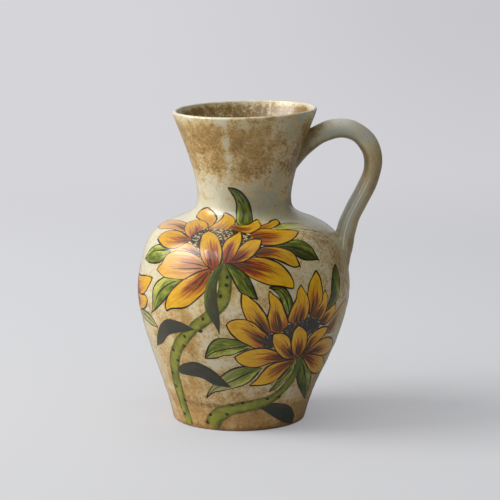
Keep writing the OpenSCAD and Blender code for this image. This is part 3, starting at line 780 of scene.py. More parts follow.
FRONT_B = [
    ("B14", (40.0, 62.2), [(43.7, 66.0), (47.0, 69.0), (51.6, 71.4), (57.6, 72.0)], (66.3, 68.3), [(48.4, 60.3), (56.9, 57.6), (67.2, 56.8), (72.7, 59.2)]),
    ("B13", (38.6, 61.6), [(38.8, 64.9), (39.5, 69.7), (40.3, 75.8), (43.9, 79.9), (49.2, 81.9)], (55.1, 81.0), [(42.4, 65.0), (45.4, 68.5), (50.4, 72.3), (53.7, 76.3)]),
    ("B10", (30.9, 59.6), [(24.6, 64.5), (19.7, 67.6), (14.6, 70.2), (9.9, 70.9), (4.2, 69.6), (0.3, 67.5)], (-4.4, 63.8), [(24.3, 58.5), (19.1, 58.4), (14.8, 57.3), (10.6, 55.5), (5.6, 55.3), (1.3, 56.4), (-2.4, 59.6)]),
    ("B10b", (34.0, 59.1), [(26.3, 58.4), (20.5, 57.4), (16.3, 55.2), (13.1, 49.9), (10.6, 44.6)], (6.1, 39.1), [(32.1, 54.8), (28.3, 49.3), (25.2, 44.1), (20.2, 40.3), (14.8, 39.0), (9.9, 39.1)]),
    ("B15", (36.9, 62.4), [(40.9, 57.8), (44.6, 53.2), (50.5, 46.8), (60.0, 41.6)], (69.9, 40.2), [(44.3, 61.7), (51.9, 58.8), (58.7, 56.5), (66.6, 50.9), (72.2, 43.6)]),
    ("B11", (34.1, 60.2), [(28.1, 60.1), (23.5, 63.2), (19.4, 68.7), (16.8, 75.5)], (16.5, 82.0), [(31.6, 66.2), (28.5, 72.4), (26.0, 78.4), (21.1, 81.9)]),
    ("B12", (35.1, 60.6), [(31.3, 64.6), (28.9, 69.9), (28.1, 76.5), (28.9, 82.8)], (31.3, 86.9), [(37.9, 62.6), (39.1, 68.2), (38.8, 74.7), (37.3, 80.6), (34.5, 84.2)]),
]
DARK = [
    ("D1", (-27.1, 84.2), [(-33.1, 87.6), (-39.0, 89.3), (-45.8, 89.0), (-52.3, 83.5), (-56.9, 76.3), (-59.9, 70.0)], (-62.5, 63.8), [(-33.8, 81.2), (-40.4, 79.4), (-47.7, 75.5), (-53.1, 69.2)]),
    ("D2", (-45.4, 48.4), [(-42.7, 51.8), (-36.2, 55.8), (-29.1, 57.4), (-22.9, 55.0), (-17.0, 50.5), (-11.8, 44.4)], (-6.3, 37.5), [(-44.2, 45.7), (-39.6, 44.9), (-30.9, 44.7), (-25.0, 43.2), (-18.5, 39.1), (-12.0, 37.9)]),
    ("D3", (9.8, 22.2), [(18.3, 22.4), (27.4, 22.1), (37.1, 20.1), (46.0, 15.8)], (53.2, 7.9), [(16.0, 19.0), (23.4, 14.0), (33.4, 7.9), (44.6, 3.0), (52.9, 1.9)]),
]
RIBS = {
    "L1": [(-50.3, 139.1), (-57.8, 137.5), (-65.1, 134.8), (-70.5, 130.4)],
    "L2": [(-37.8, 118.8), (-44.6, 114.8), (-49.8, 109.8), (-53.0, 104.0), (-56.5, 95.1)],
    "L5": [(20.6, 146.0), (29.0, 144.8), (35.2, 141.9), (40.1, 138.7), (44.4, 134.5)],
    "L3": [(-3.2, 189.5), (-0.8, 184.5), (-1.7, 178.8)],
    "L3b": [(-7.4, 193.5), (-2.6, 188.8), (-0.7, 183.0), (-3.1, 175.6)],
    "LB1": [(14.5, 115.8), (18.9, 114.0), (22.1, 109.1), (23.8, 102.4), (24.6, 97.9)],
    "LB3": [(3.0, 72.9), (-4.3, 71.5), (-11.8, 69.3), (-17.9, 66.3), (-21.3, 62.6)],
    "LB4": [(9.6, 52.5), (2.3, 48.8), (-3.9, 44.2), (-9.8, 40.6), (-17.0, 36.2), (-23.6, 28.5)],
    "LB5": [(40.5, 55.4), (48.3, 42.6), (56.4, 29.7), (61.3, 21.9)],
    "LB6": [(31.6, 53.5), (27.2, 45.1), (23.8, 37.7)],
    "LB6b": [(33.7, 51.5), (30.2, 45.1), (26.3, 39.6)],
    "LC": [(-72.5, 87.1), (-63.7, 84.8), (-58.5, 81.8)],
    "S1": [(-11.1, 134.8), (-10.6, 129.1), (-10.0, 122.0), (-10.0, 114.9), (-11.3, 107.8), (-14.5, 101.8), (-20.1, 93.1), (-26.3, 87.0), (-32.0, 79.9), (-38.6, 71.5), (-44.3, 61.3), (-48.4, 50.3), (-50.5, 39.6), (-50.8, 27.5), (-50.2, 15.0), (-46.6, 1.8)],
    "S2": [(36.0, 61.3), (38.1, 52.4), (36.9, 44.0), (33.2, 35.1), (26.3, 27.4), (14.4, 22.5), (3.0, 20.4), (-8.6, 17.2), (-17.9, 12.0), (-23.6, 3.3)],
}


def r_at(s):
    return np.interp(s, S, PR)


def metric(p, q):
    """The step from p to q, (radians, mm), as (mm across, mm up) on the surface."""
    return np.array([(q[0] - p[0]) * r_at((p[1] + q[1]) / 2), q[1] - p[1]])


def lengths(p):
    d = [np.linalg.norm(metric(p[k], p[k + 1])) for k in range(len(p) - 1)]
    return np.r_[0, np.cumsum(np.maximum(d, 1e-6))]


def spline(points, n):
    """A smooth path through the points, n steps of equal length."""
    p = np.array(points, float)
    t = lengths(p)
    m = np.zeros_like(p)
    seg = np.diff(p, axis=0) / np.diff(t)[:, None]
    m[0], m[-1] = seg[0], seg[-1]
    for i in range(1, len(p) - 1):
        a, b = t[i] - t[i - 1], t[i + 1] - t[i]
        m[i] = (seg[i - 1] * b + seg[i] * a) / (a + b)
    x = np.linspace(0, t[-1], max(8 * n, 60))
    i = np.clip(np.searchsorted(t, x, "right") - 1, 0, len(p) - 2)
    h = (t[i + 1] - t[i])[:, None]
    q = ((x - t[i])[:, None]) / h
    out = ((2 * q ** 3 - 3 * q ** 2 + 1) * p[i] + (q ** 3 - 2 * q ** 2 + q) * h * m[i]
           + (-2 * q ** 3 + 3 * q ** 2) * p[i + 1] + (q ** 3 - q ** 2) * h * m[i + 1])
    d = lengths(out)
    y = np.linspace(0, d[-1], n)
    return np.stack([np.interp(y, d, out[:, k]) for k in (0, 1)], 1)


class Enamel:
    """Thin closed shells of enamel: a top that follows the glaze, a rim, and an underside just inside the glaze."""

    def __init__(self, name, mat):
        self.name, self.mat, self.v, self.f, self.n, self.count = name, mat, [], [], [], 0
        self.a = {k: [] for k in KEYS}
        self.blades = 0

    def sheet(self, th, s, h, at):
        n, m = th.shape
        s = np.clip(s, 1.2, S_END - 1.0)
        nr = normals_on(th, s)
        top, low = on_surface(th, s, h), on_surface(th, s, -0.25)
        b0, nm = self.count, n * m
        self.v += [top.reshape(-1, 3), low.reshape(-1, 3)]
        self.count += 2 * nm
        for k in KEYS:
            v = np.broadcast_to(np.asarray(at.get(k, 0.0), float), (n, m)).reshape(-1)
            self.a[k] += [v, v]
        i = np.arange(nm).reshape(n, m)
        q = np.stack([i[:-1, :-1], i[1:, :-1], i[1:, 1:], i[:-1, 1:]], -1).reshape(-1, 4)
        flat_n = nr.reshape(-1, 3)
        self.f += (q + b0).tolist()
        self.n.append(flat_n[q].reshape(-1, 3))
        ql = q[:, ::-1]
        self.f += (ql + b0 + nm).tolist()
        self.n.append(-flat_n[ql].reshape(-1, 3))
        loop = np.r_[i[:, 0], i[-1, 1:], i[-2::-1, -1], i[0, -2:0:-1]]
        nxt = np.roll(loop, -1)
        rim = np.stack([loop, loop + nm, nxt + nm, nxt], -1)
        self.f += (rim + b0).tolist()
        # the rim shades like the top, so that a line's thin edge doesn't glint
        self.n.append(flat_n[rim % nm].reshape(-1, 3))

    def stroke(self, path, half, h, at, cols=2, step=1.0):
        """A brush line along path, rows of (radians, mm); half is its half width in mm, one value or one per point."""
        p = np.asarray(path)
        d = lengths(p)
        n = max(3, int(d[-1] / step) + 1)
        t = np.linspace(0, d[-1], n)
        th, s = np.interp(t, d, p[:, 0]), np.interp(t, d, p[:, 1])
        half = np.interp(t, d, np.broadcast_to(half, len(p)))
        r = r_at(s)
        tx, ty = np.gradient(th) * r, np.gradient(s)
        ln = np.maximum(np.hypot(tx, ty), 1e-9)
        nx, ny = -ty / ln, tx / ln
        v = np.linspace(-1, 1, cols)[None, :]
        w = half[:, None] * v
        at = dict(at)
        at.setdefault("pu", (t / d[-1])[:, None] + 0 * v)
        at["pv"] = v + 0 * w
        at["pw"] = w
        if np.ndim(at.get("tone", 0)) == 1:
            at["tone"] = np.interp(t, d, at["tone"])[:, None] + 0 * v
        self.sheet(th[:, None] + w * (nx / r)[:, None], s[:, None] + w * ny[:, None], h, at)

    def done(self):
        if self.v:
            build(self.name, np.concatenate(self.v), self.f, self.mat, {k: np.concatenate(v) for k, v in self.a.items()},
                  np.concatenate(self.n))


def blade(pen, row, h, kind, rnd, wash=1.0, tone=0.0, fade=0.0, outline=0.50, lines=0, ribs=(), whisker=0.0, tip_tone=None, tip_fade=None, ink=0.0):
    """One petal, leaf or disc, from a layout row whose points are (radians, mm)."""
    _, base, e1, tip, e2 = row
    probe = spline([base] + e1 + [tip], 9)
    L = lengths(probe)[-1]
    n = int(np.clip(L / 1.1, 10, 60))
    A, B = spline([base] + e1 + [tip], n), spline([base] + e2 + [tip], n)
    k = n // 2
    ax = metric(B[k], A[k])
    al = metric((A[k - 2] + B[k - 2]) / 2, (A[k + 2] + B[k + 2]) / 2)
    if al[0] * ax[1] - al[1] * ax[0] < 0:               # A is kept on the left of travel, so that faces point outwards
        A, B = B, A
    C, D = (A + B) / 2, (A - B) / 2
    r = r_at(C[:, 1])
    wide = np.hypot(D[:, 0] * r, D[:, 1])
    D[0], D[-1] = D[1], D[-2]
    wide0 = np.hypot(D[:, 0] * r, D[:, 1])
    D = D * (np.maximum(np.where(np.arange(n) % (n - 1) == 0, 0.15, wide), 0.15) / np.maximum(wide0, 1e-6))[:, None]
    half = np.maximum(wide, 0.15)
    half[0] = half[-1] = 0.15
    m = 13 if half.max() > 3 else 9
    v = np.linspace(-1, 1, m)[None, :]
    u = np.linspace(0, 1, n)[:, None]
    seed = float(rnd.uniform(0, 9))
    sign = 1.0 if rnd.uniform() > 0.5 else -1.0
    tt = tone if tip_tone is None else tone + (tip_tone - tone) * smooth01(u + 0 * v)
    ff = fade if tip_fade is None else fade + (tip_fade - fade) * smooth01(u * 1.6 - 0.3 + 0 * v)
    pen.sheet(C[:, :1] + D[:, :1] * v, C[:, 1:] + D[:, 1:] * v, h,
              {"pu": u + 0 * v, "pv": sign * v + 0 * u, "pw": half[:, None] * v, "ps": seed, "wash": wash, "tone": tt, "fade": ff, "ink": ink})
    pen.blades += 1
    hh = h + 0.006
    ph = rnd.uniform(0, 6.28, 8)
    t = np.linspace(0, 1, n)
    if outline:
        for side, E in ((1, A), (-1, B)):
            d1 = np.gradient(E[:, 0]) * r_at(E[:, 1])
            d2 = np.gradient(E[:, 1])
            ln = np.maximum(np.hypot(d1, d2), 1e-9)
            off = side * (0.10 + 0.14 * np.sin(8 * t + ph[side + 1]) * np.sin(np.pi * t))
            path = np.stack([E[:, 0] - off * d2 / ln / r_at(E[:, 1]), E[:, 1] + off * d1 / ln], 1)
            lw = outline * (1 + 0.28 * np.sin(6.5 * t + ph[side + 3]) + 0.16 * np.sin(21 * t + ph[side + 5])) * np.clip(t / 0.10, 0.4, 1)
            if whisker and side == 1:
                g = (path[-1] - path[-3]) / max(np.linalg.norm(metric(path[-3], path[-1])), 1e-6)
                path = np.r_[path, [path[-1] + g * whisker * 0.5, path[-1] + g * whisker]]
                lw = np.r_[lw, outline * 0.6, 0.08]
            pen.stroke(path, lw, hh + (0.0015 if side > 0 else 0), {"ink": 1.0, "ps": seed, "fade": fade * 0.7})
    if lines:
        for q in range(lines):
            v0 = (q - (lines - 1) / 2) / max(lines, 1) * 1.0 + rnd.uniform(-0.07, 0.07)
            t0, t1 = rnd.uniform(0.04, 0.16), rnd.uniform(0.42, 0.70) * (1 - 0.30 * abs(v0))
            x = np.linspace(t0, t1, 18)
            p = np.stack([np.interp(x, t, C[:, j]) + np.interp(x, t, D[:, j]) * v0 * (0.9 + 0.12 * np.sin(5 * x + ph[q % 8])) for j in (0, 1)], 1)
            y = (x - t0) / (t1 - t0)
            pen.stroke(p, (0.46 * np.sin(np.pi * np.clip(y, 0.08, 1) ** 0.6) + 0.08) * rnd.uniform(0.8, 1.3), hh + 0.003, {"ink": rnd.uniform(0.8, 1.0), "ps": seed})
    for rib in ribs:
        p = spline(rib, 30)
        x = np.linspace(0, 1, 30)
        pen.stroke(p, 0.58 * (1 - 0.50 * x) * (1 + 0.25 * np.sin(7 * x + ph[2])) * np.clip(x / 0.08, 0.4, 1), hh + 0.004, {"ink": 1.0, "ps": seed, "fade": fade * 0.6})


def dot(pen, c, h, rnd, size=1.1):
    a = rnd.uniform(0, 3.14)
    r = float(r_at(c[1]))
    ring = []
    for k in range(8):
        x, y = size * math.cos(k * math.pi / 4), 0.78 * size * math.sin(k * math.pi / 4)
        ring.append((c[0] + (x * math.cos(a) - y * math.sin(a)) / r, c[1] + x * math.sin(a) + y * math.cos(a)))
    blade(pen, ("dot", ring[0], [ring[1], ring[2], ring[3]], ring[4], [ring[7], ring[6], ring[5]]), h, "disc", rnd, outline=0, ink=0.93)


def stem(pen, path, half, dots, h, rnd, tone):
    p = spline(path, 90)
    k = np.linspace(0, 1, 90)
    wv = np.interp(k, np.linspace(0, 1, len(half)), half)
    wv = wv * (1 + 0.06 * np.sin(19 * k + rnd.uniform(0, 6)) + 0.05 * np.sin(43 * k + rnd.uniform(0, 6)))
    pen.stroke(p, wv, h, {"ps": float(rnd.uniform(0, 9)), "tone": np.interp(k, np.linspace(0, 1, len(tone)), tone)}, cols=9, step=1.2)
    for d in dots:
        dot(pen, d, h + 0.008, rnd, rnd.uniform(1.3, 1.8))


S1_DOTS = [(-8.9, 124), (-9.2, 118.3), (-12.1, 110.4), (-21.8, 93.1), (-23.9, 83.5), (-34.3, 77.8), (-35.8, 69.9), (-45.2, 64.8),
           (-43.3, 56.2), (-52.4, 43.9), (-52.7, 32.4), (-46.6, 21.5), (-51.1, 9.5)]
S2_DOTS = [(-23.7, 12.7), (-27.1, 6.2), (-9.5, 14.2), (-5.6, 21.6), (2.4, 24.0), (21.0, 26.6), (30.3, 27.0)]
OPTS = {
    "L4": dict(tip_fade=0.95, fade=0.0, outline=0.30), "L1": dict(wash=0.60, ribs=("L1",), whisker=1.0), "L2": dict(wash=0.75, ribs=("L2",), whisker=2.5),
    "L5": dict(wash=0.12, ribs=("L5",), whisker=2.2), "L3": dict(wash=0.30, ribs=("L3b",), whisker=0.0),
    "LC": dict(wash=0.8, fade=0.45, ribs=("LC",)),
    "A10": dict(tone=0.6, lines=3, outline=0.28, wash=0.7), "A9": dict(wash=0.25, tone=0.25), "A6b": dict(wash=0.5, lines=1), "A8": dict(wash=0.6),
    "A6": dict(lines=3), "A7": dict(lines=2), "A11": dict(lines=1, wash=0.95, tone=0.1, outline=0.33), "A13": dict(tone=0.1, outline=0.12, wash=1.0),
    "A12": dict(wash=0.8), "A14": dict(tone=0.50, lines=2, outline=0.28, wash=1.0), "A15": dict(lines=2, wash=0.85), "A5b": dict(lines=3, whisker=2.0), "A4": dict(lines=3),
    "A5": dict(lines=2), "A3": dict(lines=1), "A2": dict(lines=2, wash=1.0), "A3b": dict(lines=2),
    "L7": dict(wash=0.15), "L6": dict(wash=0.1, tone=0.35, tip_tone=0.9, outline=0),
    "LB1": dict(wash=0.40, ribs=("LB1",)), "LB2": dict(wash=0.22, tone=0.15), "LB3": dict(wash=0.55, ribs=("LB3",)),
    "LB4": dict(wash=0.58, ribs=("LB4",), tip_fade=0.5), "LB5": dict(wash=0.35, ribs=("LB5",)), "LB6": dict(wash=0.5, ribs=("LB6", "LB6b"), outline=0.32),
    "B6": dict(fade=0.22, lines=3, outline=0.30, wash=1.0), "B14": dict(tone=0.15)}


def composition(tag, T, seed, jitter=0.0, cut=()):
    """The painted spray. T takes a point of the layout to its place on the pot; seed and jitter vary the hand."""
    rnd = np.random.default_rng(seed)
    level = [0]

    def pt(p):
        q = T(p)
        return (math.radians(q[0] + rnd.uniform(-1, 1) * jitter * 0.7), q[1] + rnd.uniform(-1, 1) * jitter)

    def group(name, mat, rows, kind, size=4, **kw):
        pen, made = None, 0
        for row in rows:
            if row[0] in cut:
                continue
            if pen is None or pen.blades >= size:
                if pen:
                    pen.done()
                made += 1
                pen = Enamel("%s_%s_%d" % (name, tag, made), mat)
            args = dict(kw)
            args.update(OPTS.get(row[0], {}))
            args["ribs"] = [[pt(p) for p in RIBS[k]] for k in args.get("ribs", ())]
            level[0] += 1
            placed = (row[0], pt(row[1]), [pt(p) for p in row[2]], pt(row[3]), [pt(p) for p in row[4]])
            blade(pen, placed, 0.04 + 0.010 * level[0], kind, rnd, **args)
        if pen:
            pen.done()

    group("leaves", leaf_mat, LEAVES_A, "leaf")
    group("petals_back", petal_mat, BACK_A, "petal", wash=0.85)
    group("flower_disc", disc_a_mat, DISC_A, "disc", outline=0)
    group("petals_side", petal_mat, SIDE_A, "petal", size=3, lines=3)
    group("petals_front", petal_mat, FRONT_A, "petal", lines=2)
    level[0] = 0
    group("leaves_low", leaf_mat, LEAVES_B, "leaf", size=3)
    group("petals_low_back", petal_mat, BACK_B, "petal", wash=0.80, lines=5)
    group("flower_disc_low", disc_b_mat, DISC_B, "disc", outline=0)
    group("petals_low_front", petal_mat, FRONT_B, "petal", wash=0.85, lines=4)
    pen = Enamel("stem_long_" + tag, stem_mat)
    stem(pen, [pt(p) for p in RIBS["S1"]], [4.2, 5.0, 5.0, 4.6, 4.3, 4.3, 4.7, 5.0, 4.7, 4.2, 3.7], [pt(p) for p in S1_DOTS], 0.225, rnd, [0.8, 0.45, 0.1, 0, 0, 0, 0, 0])
    pen.done()
    pen = Enamel("stem_low_" + tag, stem_mat)
    stem(pen, [pt(p) for p in RIBS["S2"]], [2.4, 3.0, 3.4, 3.7, 4.0, 4.4, 4.8, 5.1, 5.4, 5.4], [pt(p) for p in S2_DOTS], 0.265, rnd, [0.8, 0.55, 0.4, 0.25, 0.1, 0, 0, 0])
    pen.done()
    level[0] = 19
    group("leaves_dark", leaf_mat, DARK, "dark", outline=0, tone=1.0)
    level[0] = 24
    group("leaves_sepal", leaf_mat, SEPAL, "leaf")


composition("front", lambda p: p, 11)
composition("back", lambda p: (157 - p[0], p[1]), 23, jitter=0.8, cut=("LB2", "L4", "A10"))

# a third flower round the left side, whose petals just show from the front
rnd = np.random.default_rng(5)
pen_no, pen = 0, None
cx_, cs_ = -106.0, 97.0
rows = []
for k in range(13):
    a = 2 * math.pi * k / 13 + 0.24
    if abs((a + math.pi) % (2 * math.pi) - math.pi) < 0.62:
        continue
    long_, wid = rnd.uniform(31, 37), rnd.uniform(6.0, 7.6)
    if math.sin(a) < 0:
        long_ *= 0.92
    def at_(l, w):
        x, y = l * math.cos(a) - w * math.sin(a), (l * math.sin(a) + w * math.cos(a)) * 0.98
        return (math.radians(cx_) + x / float(r_at(cs_ + y / 2)), cs_ + y)
    bend = rnd.uniform(-1.5, 1.5)
    rows.append(("C%d" % (k + 5), at_(5, 0), [at_(long_ * 0.30, wid * 0.7), at_(long_ * 0.55, wid), at_(long_ * 0.8, wid * 0.68 + bend * 0.5)],
                 at_(long_, bend), [at_(long_ * 0.30, -wid * 0.7), at_(long_ * 0.55, -wid), at_(long_ * 0.8, -wid * 0.68 + bend * 0.5)]))
rad = lambda row: (row[0], (math.radians(row[1][0]), row[1][1]), [(math.radians(p[0]), p[1]) for p in row[2]],
                   (math.radians(row[3][0]), row[3][1]), [(math.radians(p[0]), p[1]) for p in row[4]])
rows += [rad(r) for r in LEFT_C]
for k, row in enumerate(rows):
    if k % 4 == 0:
        if pen:
            pen.done()
        pen_no += 1
        pen = Enamel("petals_left_%d" % pen_no, petal_mat)
    blade(pen, row, 0.05 + 0.010 * k, "petal", rnd, lines=3 if k < len(rows) - 2 else 0)
pen.done()
pen = Enamel("flower_disc_left", disc_b_mat)
ring = [(math.radians(cx_) + 11.5 * math.cos(k * math.pi / 6) / 78, cs_ + 10.5 * math.sin(k * math.pi / 6)) for k in range(12)]
blade(pen, ("disc", ring[6], ring[5:0:-1], ring[0], ring[7:12]), 0.05 + 0.010 * (len(rows) + 1), "disc", rnd, outline=0)
pen.done()
pen = Enamel("leaves_left", leaf_mat)
blade(pen, rad(LEAF_C[0]), 0.04, "leaf", rnd, **dict(OPTS["LC"], ribs=[[(math.radians(a), b) for a, b in RIBS["LC"]]]))
for b_, e1_, t_, e2_ in (((-112, 68), [(-122, 62), (-130, 50)], (-132, 34), [(-114, 56), (-122, 42)]),
                         ((-100, 66), [(-93, 58), (-90, 44)], (-95, 28), [(-102, 54), (-101, 40)])):
    blade(pen, rad(("x", b_, e1_, t_, e2_)), 0.05, "leaf", rnd, wash=0.5, whisker=1.5)
pen.done()
pen = Enamel("stem_left", stem_mat)
stem(pen, [(math.radians(a), b) for a, b in ((-106, 66), (-108, 50), (-112, 34), (-113, 18), (-110, 3))], [3.0, 3.4, 3.2, 3.0, 2.8],
     [(math.radians(a), b) for a, b in ((-104.5, 58), (-111, 44), (-109.5, 32), (-115.5, 22), (-110.5, 11))], 0.07, rnd, [0.6, 0.1, 0, 0])
pen.done()

# ---------------------------------------------------------------- stage
SIDE_LEFT, SIDE_RIGHT, TOP, FLOOR, LIFT = 0.36, 0.07, 0.90, 0.472, 0.33
floor_me = bpy.data.meshes.new("floor")
n = 96
fv = [(0, 0, 0)] + [(40 * math.sin(a), 40 * math.cos(a), 0) for a in np.linspace(0, 2 * math.pi, n, endpoint=False)]
floor_me.from_pydata(fv, [], [(0, 1 + (i + 1) % n, 1 + i) for i in range(n)])
floor = bpy.data.objects.new("floor", floor_me)
bpy.context.scene.collection.objects.link(floor)
fm = bpy.data.materials.new("floor")
fm.use_nodes = True
t = fm.node_tree
t.nodes.clear()
out = t.nodes.new("ShaderNodeOutputMaterial")
dif = t.nodes.new("ShaderNodeBsdfDiffuse")
em = t.nodes.new("ShaderNodeEmission")
tc = t.nodes.new("ShaderNodeTexCoord")
sep = t.nodes.new("ShaderNodeSeparateXYZ")
t.links.new(tc.outputs["Object"], sep.inputs[0])


def fmath(op, a, b):
    n = t.nodes.new("ShaderNodeMath")
    n.operation = op
    for i, v in enumerate((a, b)):
        if isinstance(v, bpy.types.NodeSocket):
            t.links.new(v, n.inputs[i])
        else:
            n.inputs[i].default_value = v
    return n.outputs[0]


def frange(v, a, b, lo, hi):
    n = t.nodes.new("ShaderNodeMapRange")
    n.interpolation_type = "SMOOTHSTEP"
    t.links.new(v, n.inputs["Value"])
    for k, x in (("From Min", a), ("From Max", b), ("To Min", lo), ("To Max", hi)):
        n.inputs[k].default_value = x
    return n.outputs[0]


# the sweep is a little brighter on the left, where the window is
slant = fmath("DIVIDE", sep.outputs["X"], fmath("MAXIMUM", fmath("ADD", sep.outputs["Y"], 2.0), 0.6))
fade_right = frange(sep.outputs["Y"], -0.5, 3.6, 0.02, 0.135)
fade_right = fmath("MULTIPLY", fade_right, frange(sep.outputs["Y"], 5.0, 14.0, 1.0, 0.0))
fall = fmath("SUBTRACT", 1.0, fmath("MULTIPLY", fade_right, frange(slant, -0.06, 0.11, 0.0, 1.0)))
# painted shade: the floor's colour is also darker towards the camera
near = frange(sep.outputs["Y"], -0.55, 0.10, 0.90, 1.0)
lp = t.nodes.new("ShaderNodeLightPath")
# the room to the right is dark: the far floor there gives the pot little light
dim = frange(slant, -0.15, 0.25, 1.0, 0.15)
seen = lp.outputs["Is Camera Ray"]
glow = fmath("ADD", fmath("MULTIPLY", seen, fall), fmath("MULTIPLY", fmath("SUBTRACT", 1.0, seen), dim))
mirror = fmath("SUBTRACT", 1.0, fmath("MULTIPLY", lp.outputs["Is Glossy Ray"], 0.55))
glow = fmath("MULTIPLY", glow, mirror)
for node, rgb, k in ((dif, (FLOOR, FLOOR, FLOOR * 1.015), fmath("MULTIPLY", fmath("MULTIPLY", fall, near), mirror)), (em, (0.665, 0.662, 0.695), glow)):
    sc = t.nodes.new("ShaderNodeVectorMath")
    sc.operation = "SCALE"
    sc.inputs[0].default_value = rgb
    t.links.new(k, sc.inputs["Scale"])
    t.links.new(sc.outputs[0], node.inputs[0])
ln_ = t.nodes.new("ShaderNodeVectorMath"); ln_.operation = "LENGTH"
t.links.new(tc.outputs["Object"], ln_.inputs[0])
ms = t.nodes.new("ShaderNodeMixShader")
# the floor glows: from 0.4 m outwards it turns into emission of the backdrop's colour, and to the camera at least a
# third of it is emission everywhere, which paints light into the pot's shadow
lift = frange(ln_.outputs["Value"], 0.4, 1.3, 0.0, 1.0)
lift = fmath("MAXIMUM", lift, fmath("MULTIPLY", seen, LIFT))
t.links.new(lift, ms.inputs[0]); t.links.new(dif.outputs[0], ms.inputs[1]); t.links.new(em.outputs[0], ms.inputs[2])
t.links.new(ms.outputs[0], out.inputs[0])
floor_me.materials.append(fm)

world = bpy.data.worlds.new("world")
bpy.context.scene.world = world
world.use_nodes = True
t = world.node_tree
t.nodes.clear()
out = t.nodes.new("ShaderNodeOutputWorld")
bg = t.nodes.new("ShaderNodeBackground")
seen = t.nodes.new("ShaderNodeBackground")
seen.inputs[0].default_value = (0.655, 0.655, 0.685, 1)
lp = t.nodes.new("ShaderNodeLightPath")
ms = t.nodes.new("ShaderNodeMixShader")
tc = t.nodes.new("ShaderNodeTexCoord")
sep = t.nodes.new("ShaderNodeSeparateXYZ")
t.links.new(tc.outputs["Generated"], sep.inputs[0])
mr = t.nodes.new("ShaderNodeMapRange")
t.links.new(sep.outputs["X"], mr.inputs["Value"])
mr.inputs["From Min"].default_value = -1
mr.inputs["From Max"].default_value = 0.5
mr.inputs["To Min"].default_value = SIDE_LEFT
mr.inputs["To Max"].default_value = SIDE_RIGHT
mz = t.nodes.new("ShaderNodeMapRange")
t.links.new(sep.outputs["Z"], mz.inputs["Value"])
mz.inputs["From Min"].default_value = 0.0
mz.inputs["From Max"].default_value = 1
mz.inputs["To Min"].default_value = 0.0
mz.inputs["To Max"].default_value = TOP
ad = t.nodes.new("ShaderNodeMath")
t.links.new(mr.outputs[0], ad.inputs[0]); t.links.new(mz.outputs[0], ad.inputs[1])
# in reflections the low part of the room is dimmer and the ceiling brighter
gz = t.nodes.new("ShaderNodeMapRange")
t.links.new(sep.outputs["Z"], gz.inputs["Value"])
for k, x in (("From Min", 0.25), ("From Max", 0.75), ("To Min", 0.35), ("To Max", 0.9)):
    gz.inputs[k].default_value = x
gm = t.nodes.new("ShaderNodeMath")
gm.operation = "MULTIPLY"
t.links.new(ad.outputs[0], gm.inputs[0]); t.links.new(gz.outputs[0], gm.inputs[1])


def wrange(v, a, b, lo, hi):
    n = t.nodes.new("ShaderNodeMapRange")
    t.links.new(v, n.inputs["Value"])
    for k, x in (("From Min", a), ("From Max", b), ("To Min", lo), ("To Max", hi)):
        n.inputs[k].default_value = x
    return n.outputs[0]


def wmath(op, a, b):
    n = t.nodes.new("ShaderNodeMath")
    n.operation = op
    t.links.new(a, n.inputs[0]); t.links.new(b, n.inputs[1])
    return n.outputs[0]


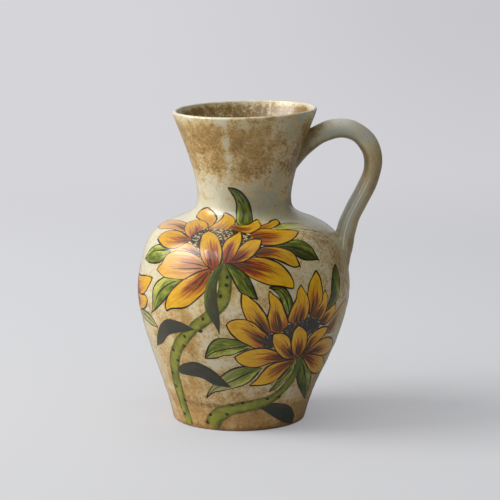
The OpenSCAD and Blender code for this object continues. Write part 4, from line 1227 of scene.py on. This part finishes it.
# they also hold the dark right of the room and the pale backdrop behind the pot
gm_right = wmath("MULTIPLY", gm.outputs[0], wrange(sep.outputs["X"], -0.2, 0.45, 1.0, 0.1))
backdrop = wmath("MULTIPLY", wrange(sep.outputs["Y"], 0.70, 0.95, 0.0, 0.55), wrange(sep.outputs["Z"], 0.35, 0.65, 1.0, 0.0))
gm_all = wmath("ADD", gm_right, backdrop)
pick_ = t.nodes.new("ShaderNodeMix")
pick_.data_type = "FLOAT"
t.links.new(lp.outputs["Is Glossy Ray"], pick_.inputs[0]); t.links.new(ad.outputs[0], pick_.inputs[2]); t.links.new(gm_all, pick_.inputs[3])
t.links.new(pick_.outputs[0], bg.inputs["Strength"])
bg.inputs[0].default_value = (0.96, 0.98, 1.0, 1)
t.links.new(lp.outputs["Is Camera Ray"], ms.inputs[0]); t.links.new(bg.outputs[0], ms.inputs[1]); t.links.new(seen.outputs[0], ms.inputs[2])
t.links.new(ms.outputs[0], out.inputs[0])


def area(name, azimuth, elevation, distance, size, size_y, watts, aim=(0, 0, 0.12), colour=(1, 1, 1), spread=180):
    """A soft rectangle of light. Azimuth 0 is the front and 90 is +X."""
    d = bpy.data.lights.new(name, "AREA")
    d.shape, d.size, d.size_y, d.energy, d.color = "RECTANGLE", size, size_y, watts, colour
    d.spread = math.radians(spread)
    o = bpy.data.objects.new(name, d)
    bpy.context.scene.collection.objects.link(o)
    a, e = math.radians(azimuth), math.radians(elevation)
    o.location = Vector(aim) + distance * Vector((math.sin(a) * math.cos(e), -math.cos(a) * math.cos(e), math.sin(e)))
    o.rotation_mode = "QUATERNION"
    o.rotation_quaternion = (Vector(aim) - o.location).to_track_quat("-Z", "Y")
    return o


key = area("key", -86, 34, 3.0, 1.8, 1.6, 103)
key.visible_glossy = False
# light returned by the pale table on the window side
low = area("low", -78, 7, 2.2, 1.6, 0.6, 7)
low.visible_glossy = False
# the window as the glaze mirrors it: a bright pane in a paler surround
for name, a_, e_, w_, h_, watts in (("pane", -86, 37, 1.8, 1.3, 36), ("surround", -82, 29, 2.9, 2.3, 56)):
    o = area(name, a_, e_, 3.1, w_, h_, watts)
    o.visible_diffuse = False


def bar(name, top, foot, distance, width, length, watts):
    """A thin light whose long side runs from one direction towards another, both as (azimuth, elevation)."""
    v = [Vector((math.sin(a) * math.cos(e), -math.cos(a) * math.cos(e), math.sin(e))) for a, e in (map(math.radians, q) for q in (top, foot))]
    o = area(name, 0, 0, distance, width, length, watts)
    z = (v[0] + v[1]).normalized()
    y = (v[0] - v[1] - (v[0] - v[1]).dot(z) * z).normalized()
    x = y.cross(z)
    o.location = Vector((0, 0, 0.12)) + distance * z
    o.rotation_quaternion = Matrix((x, y, z)).transposed().to_quaternion()


bar("bar_1", (-72, 58), (-44, 26), 2.4, 0.05, 1.1, 5.0)
bar("bar_2", (-50, 57), (-30, 26), 2.4, 0.035, 0.9, 2.8)
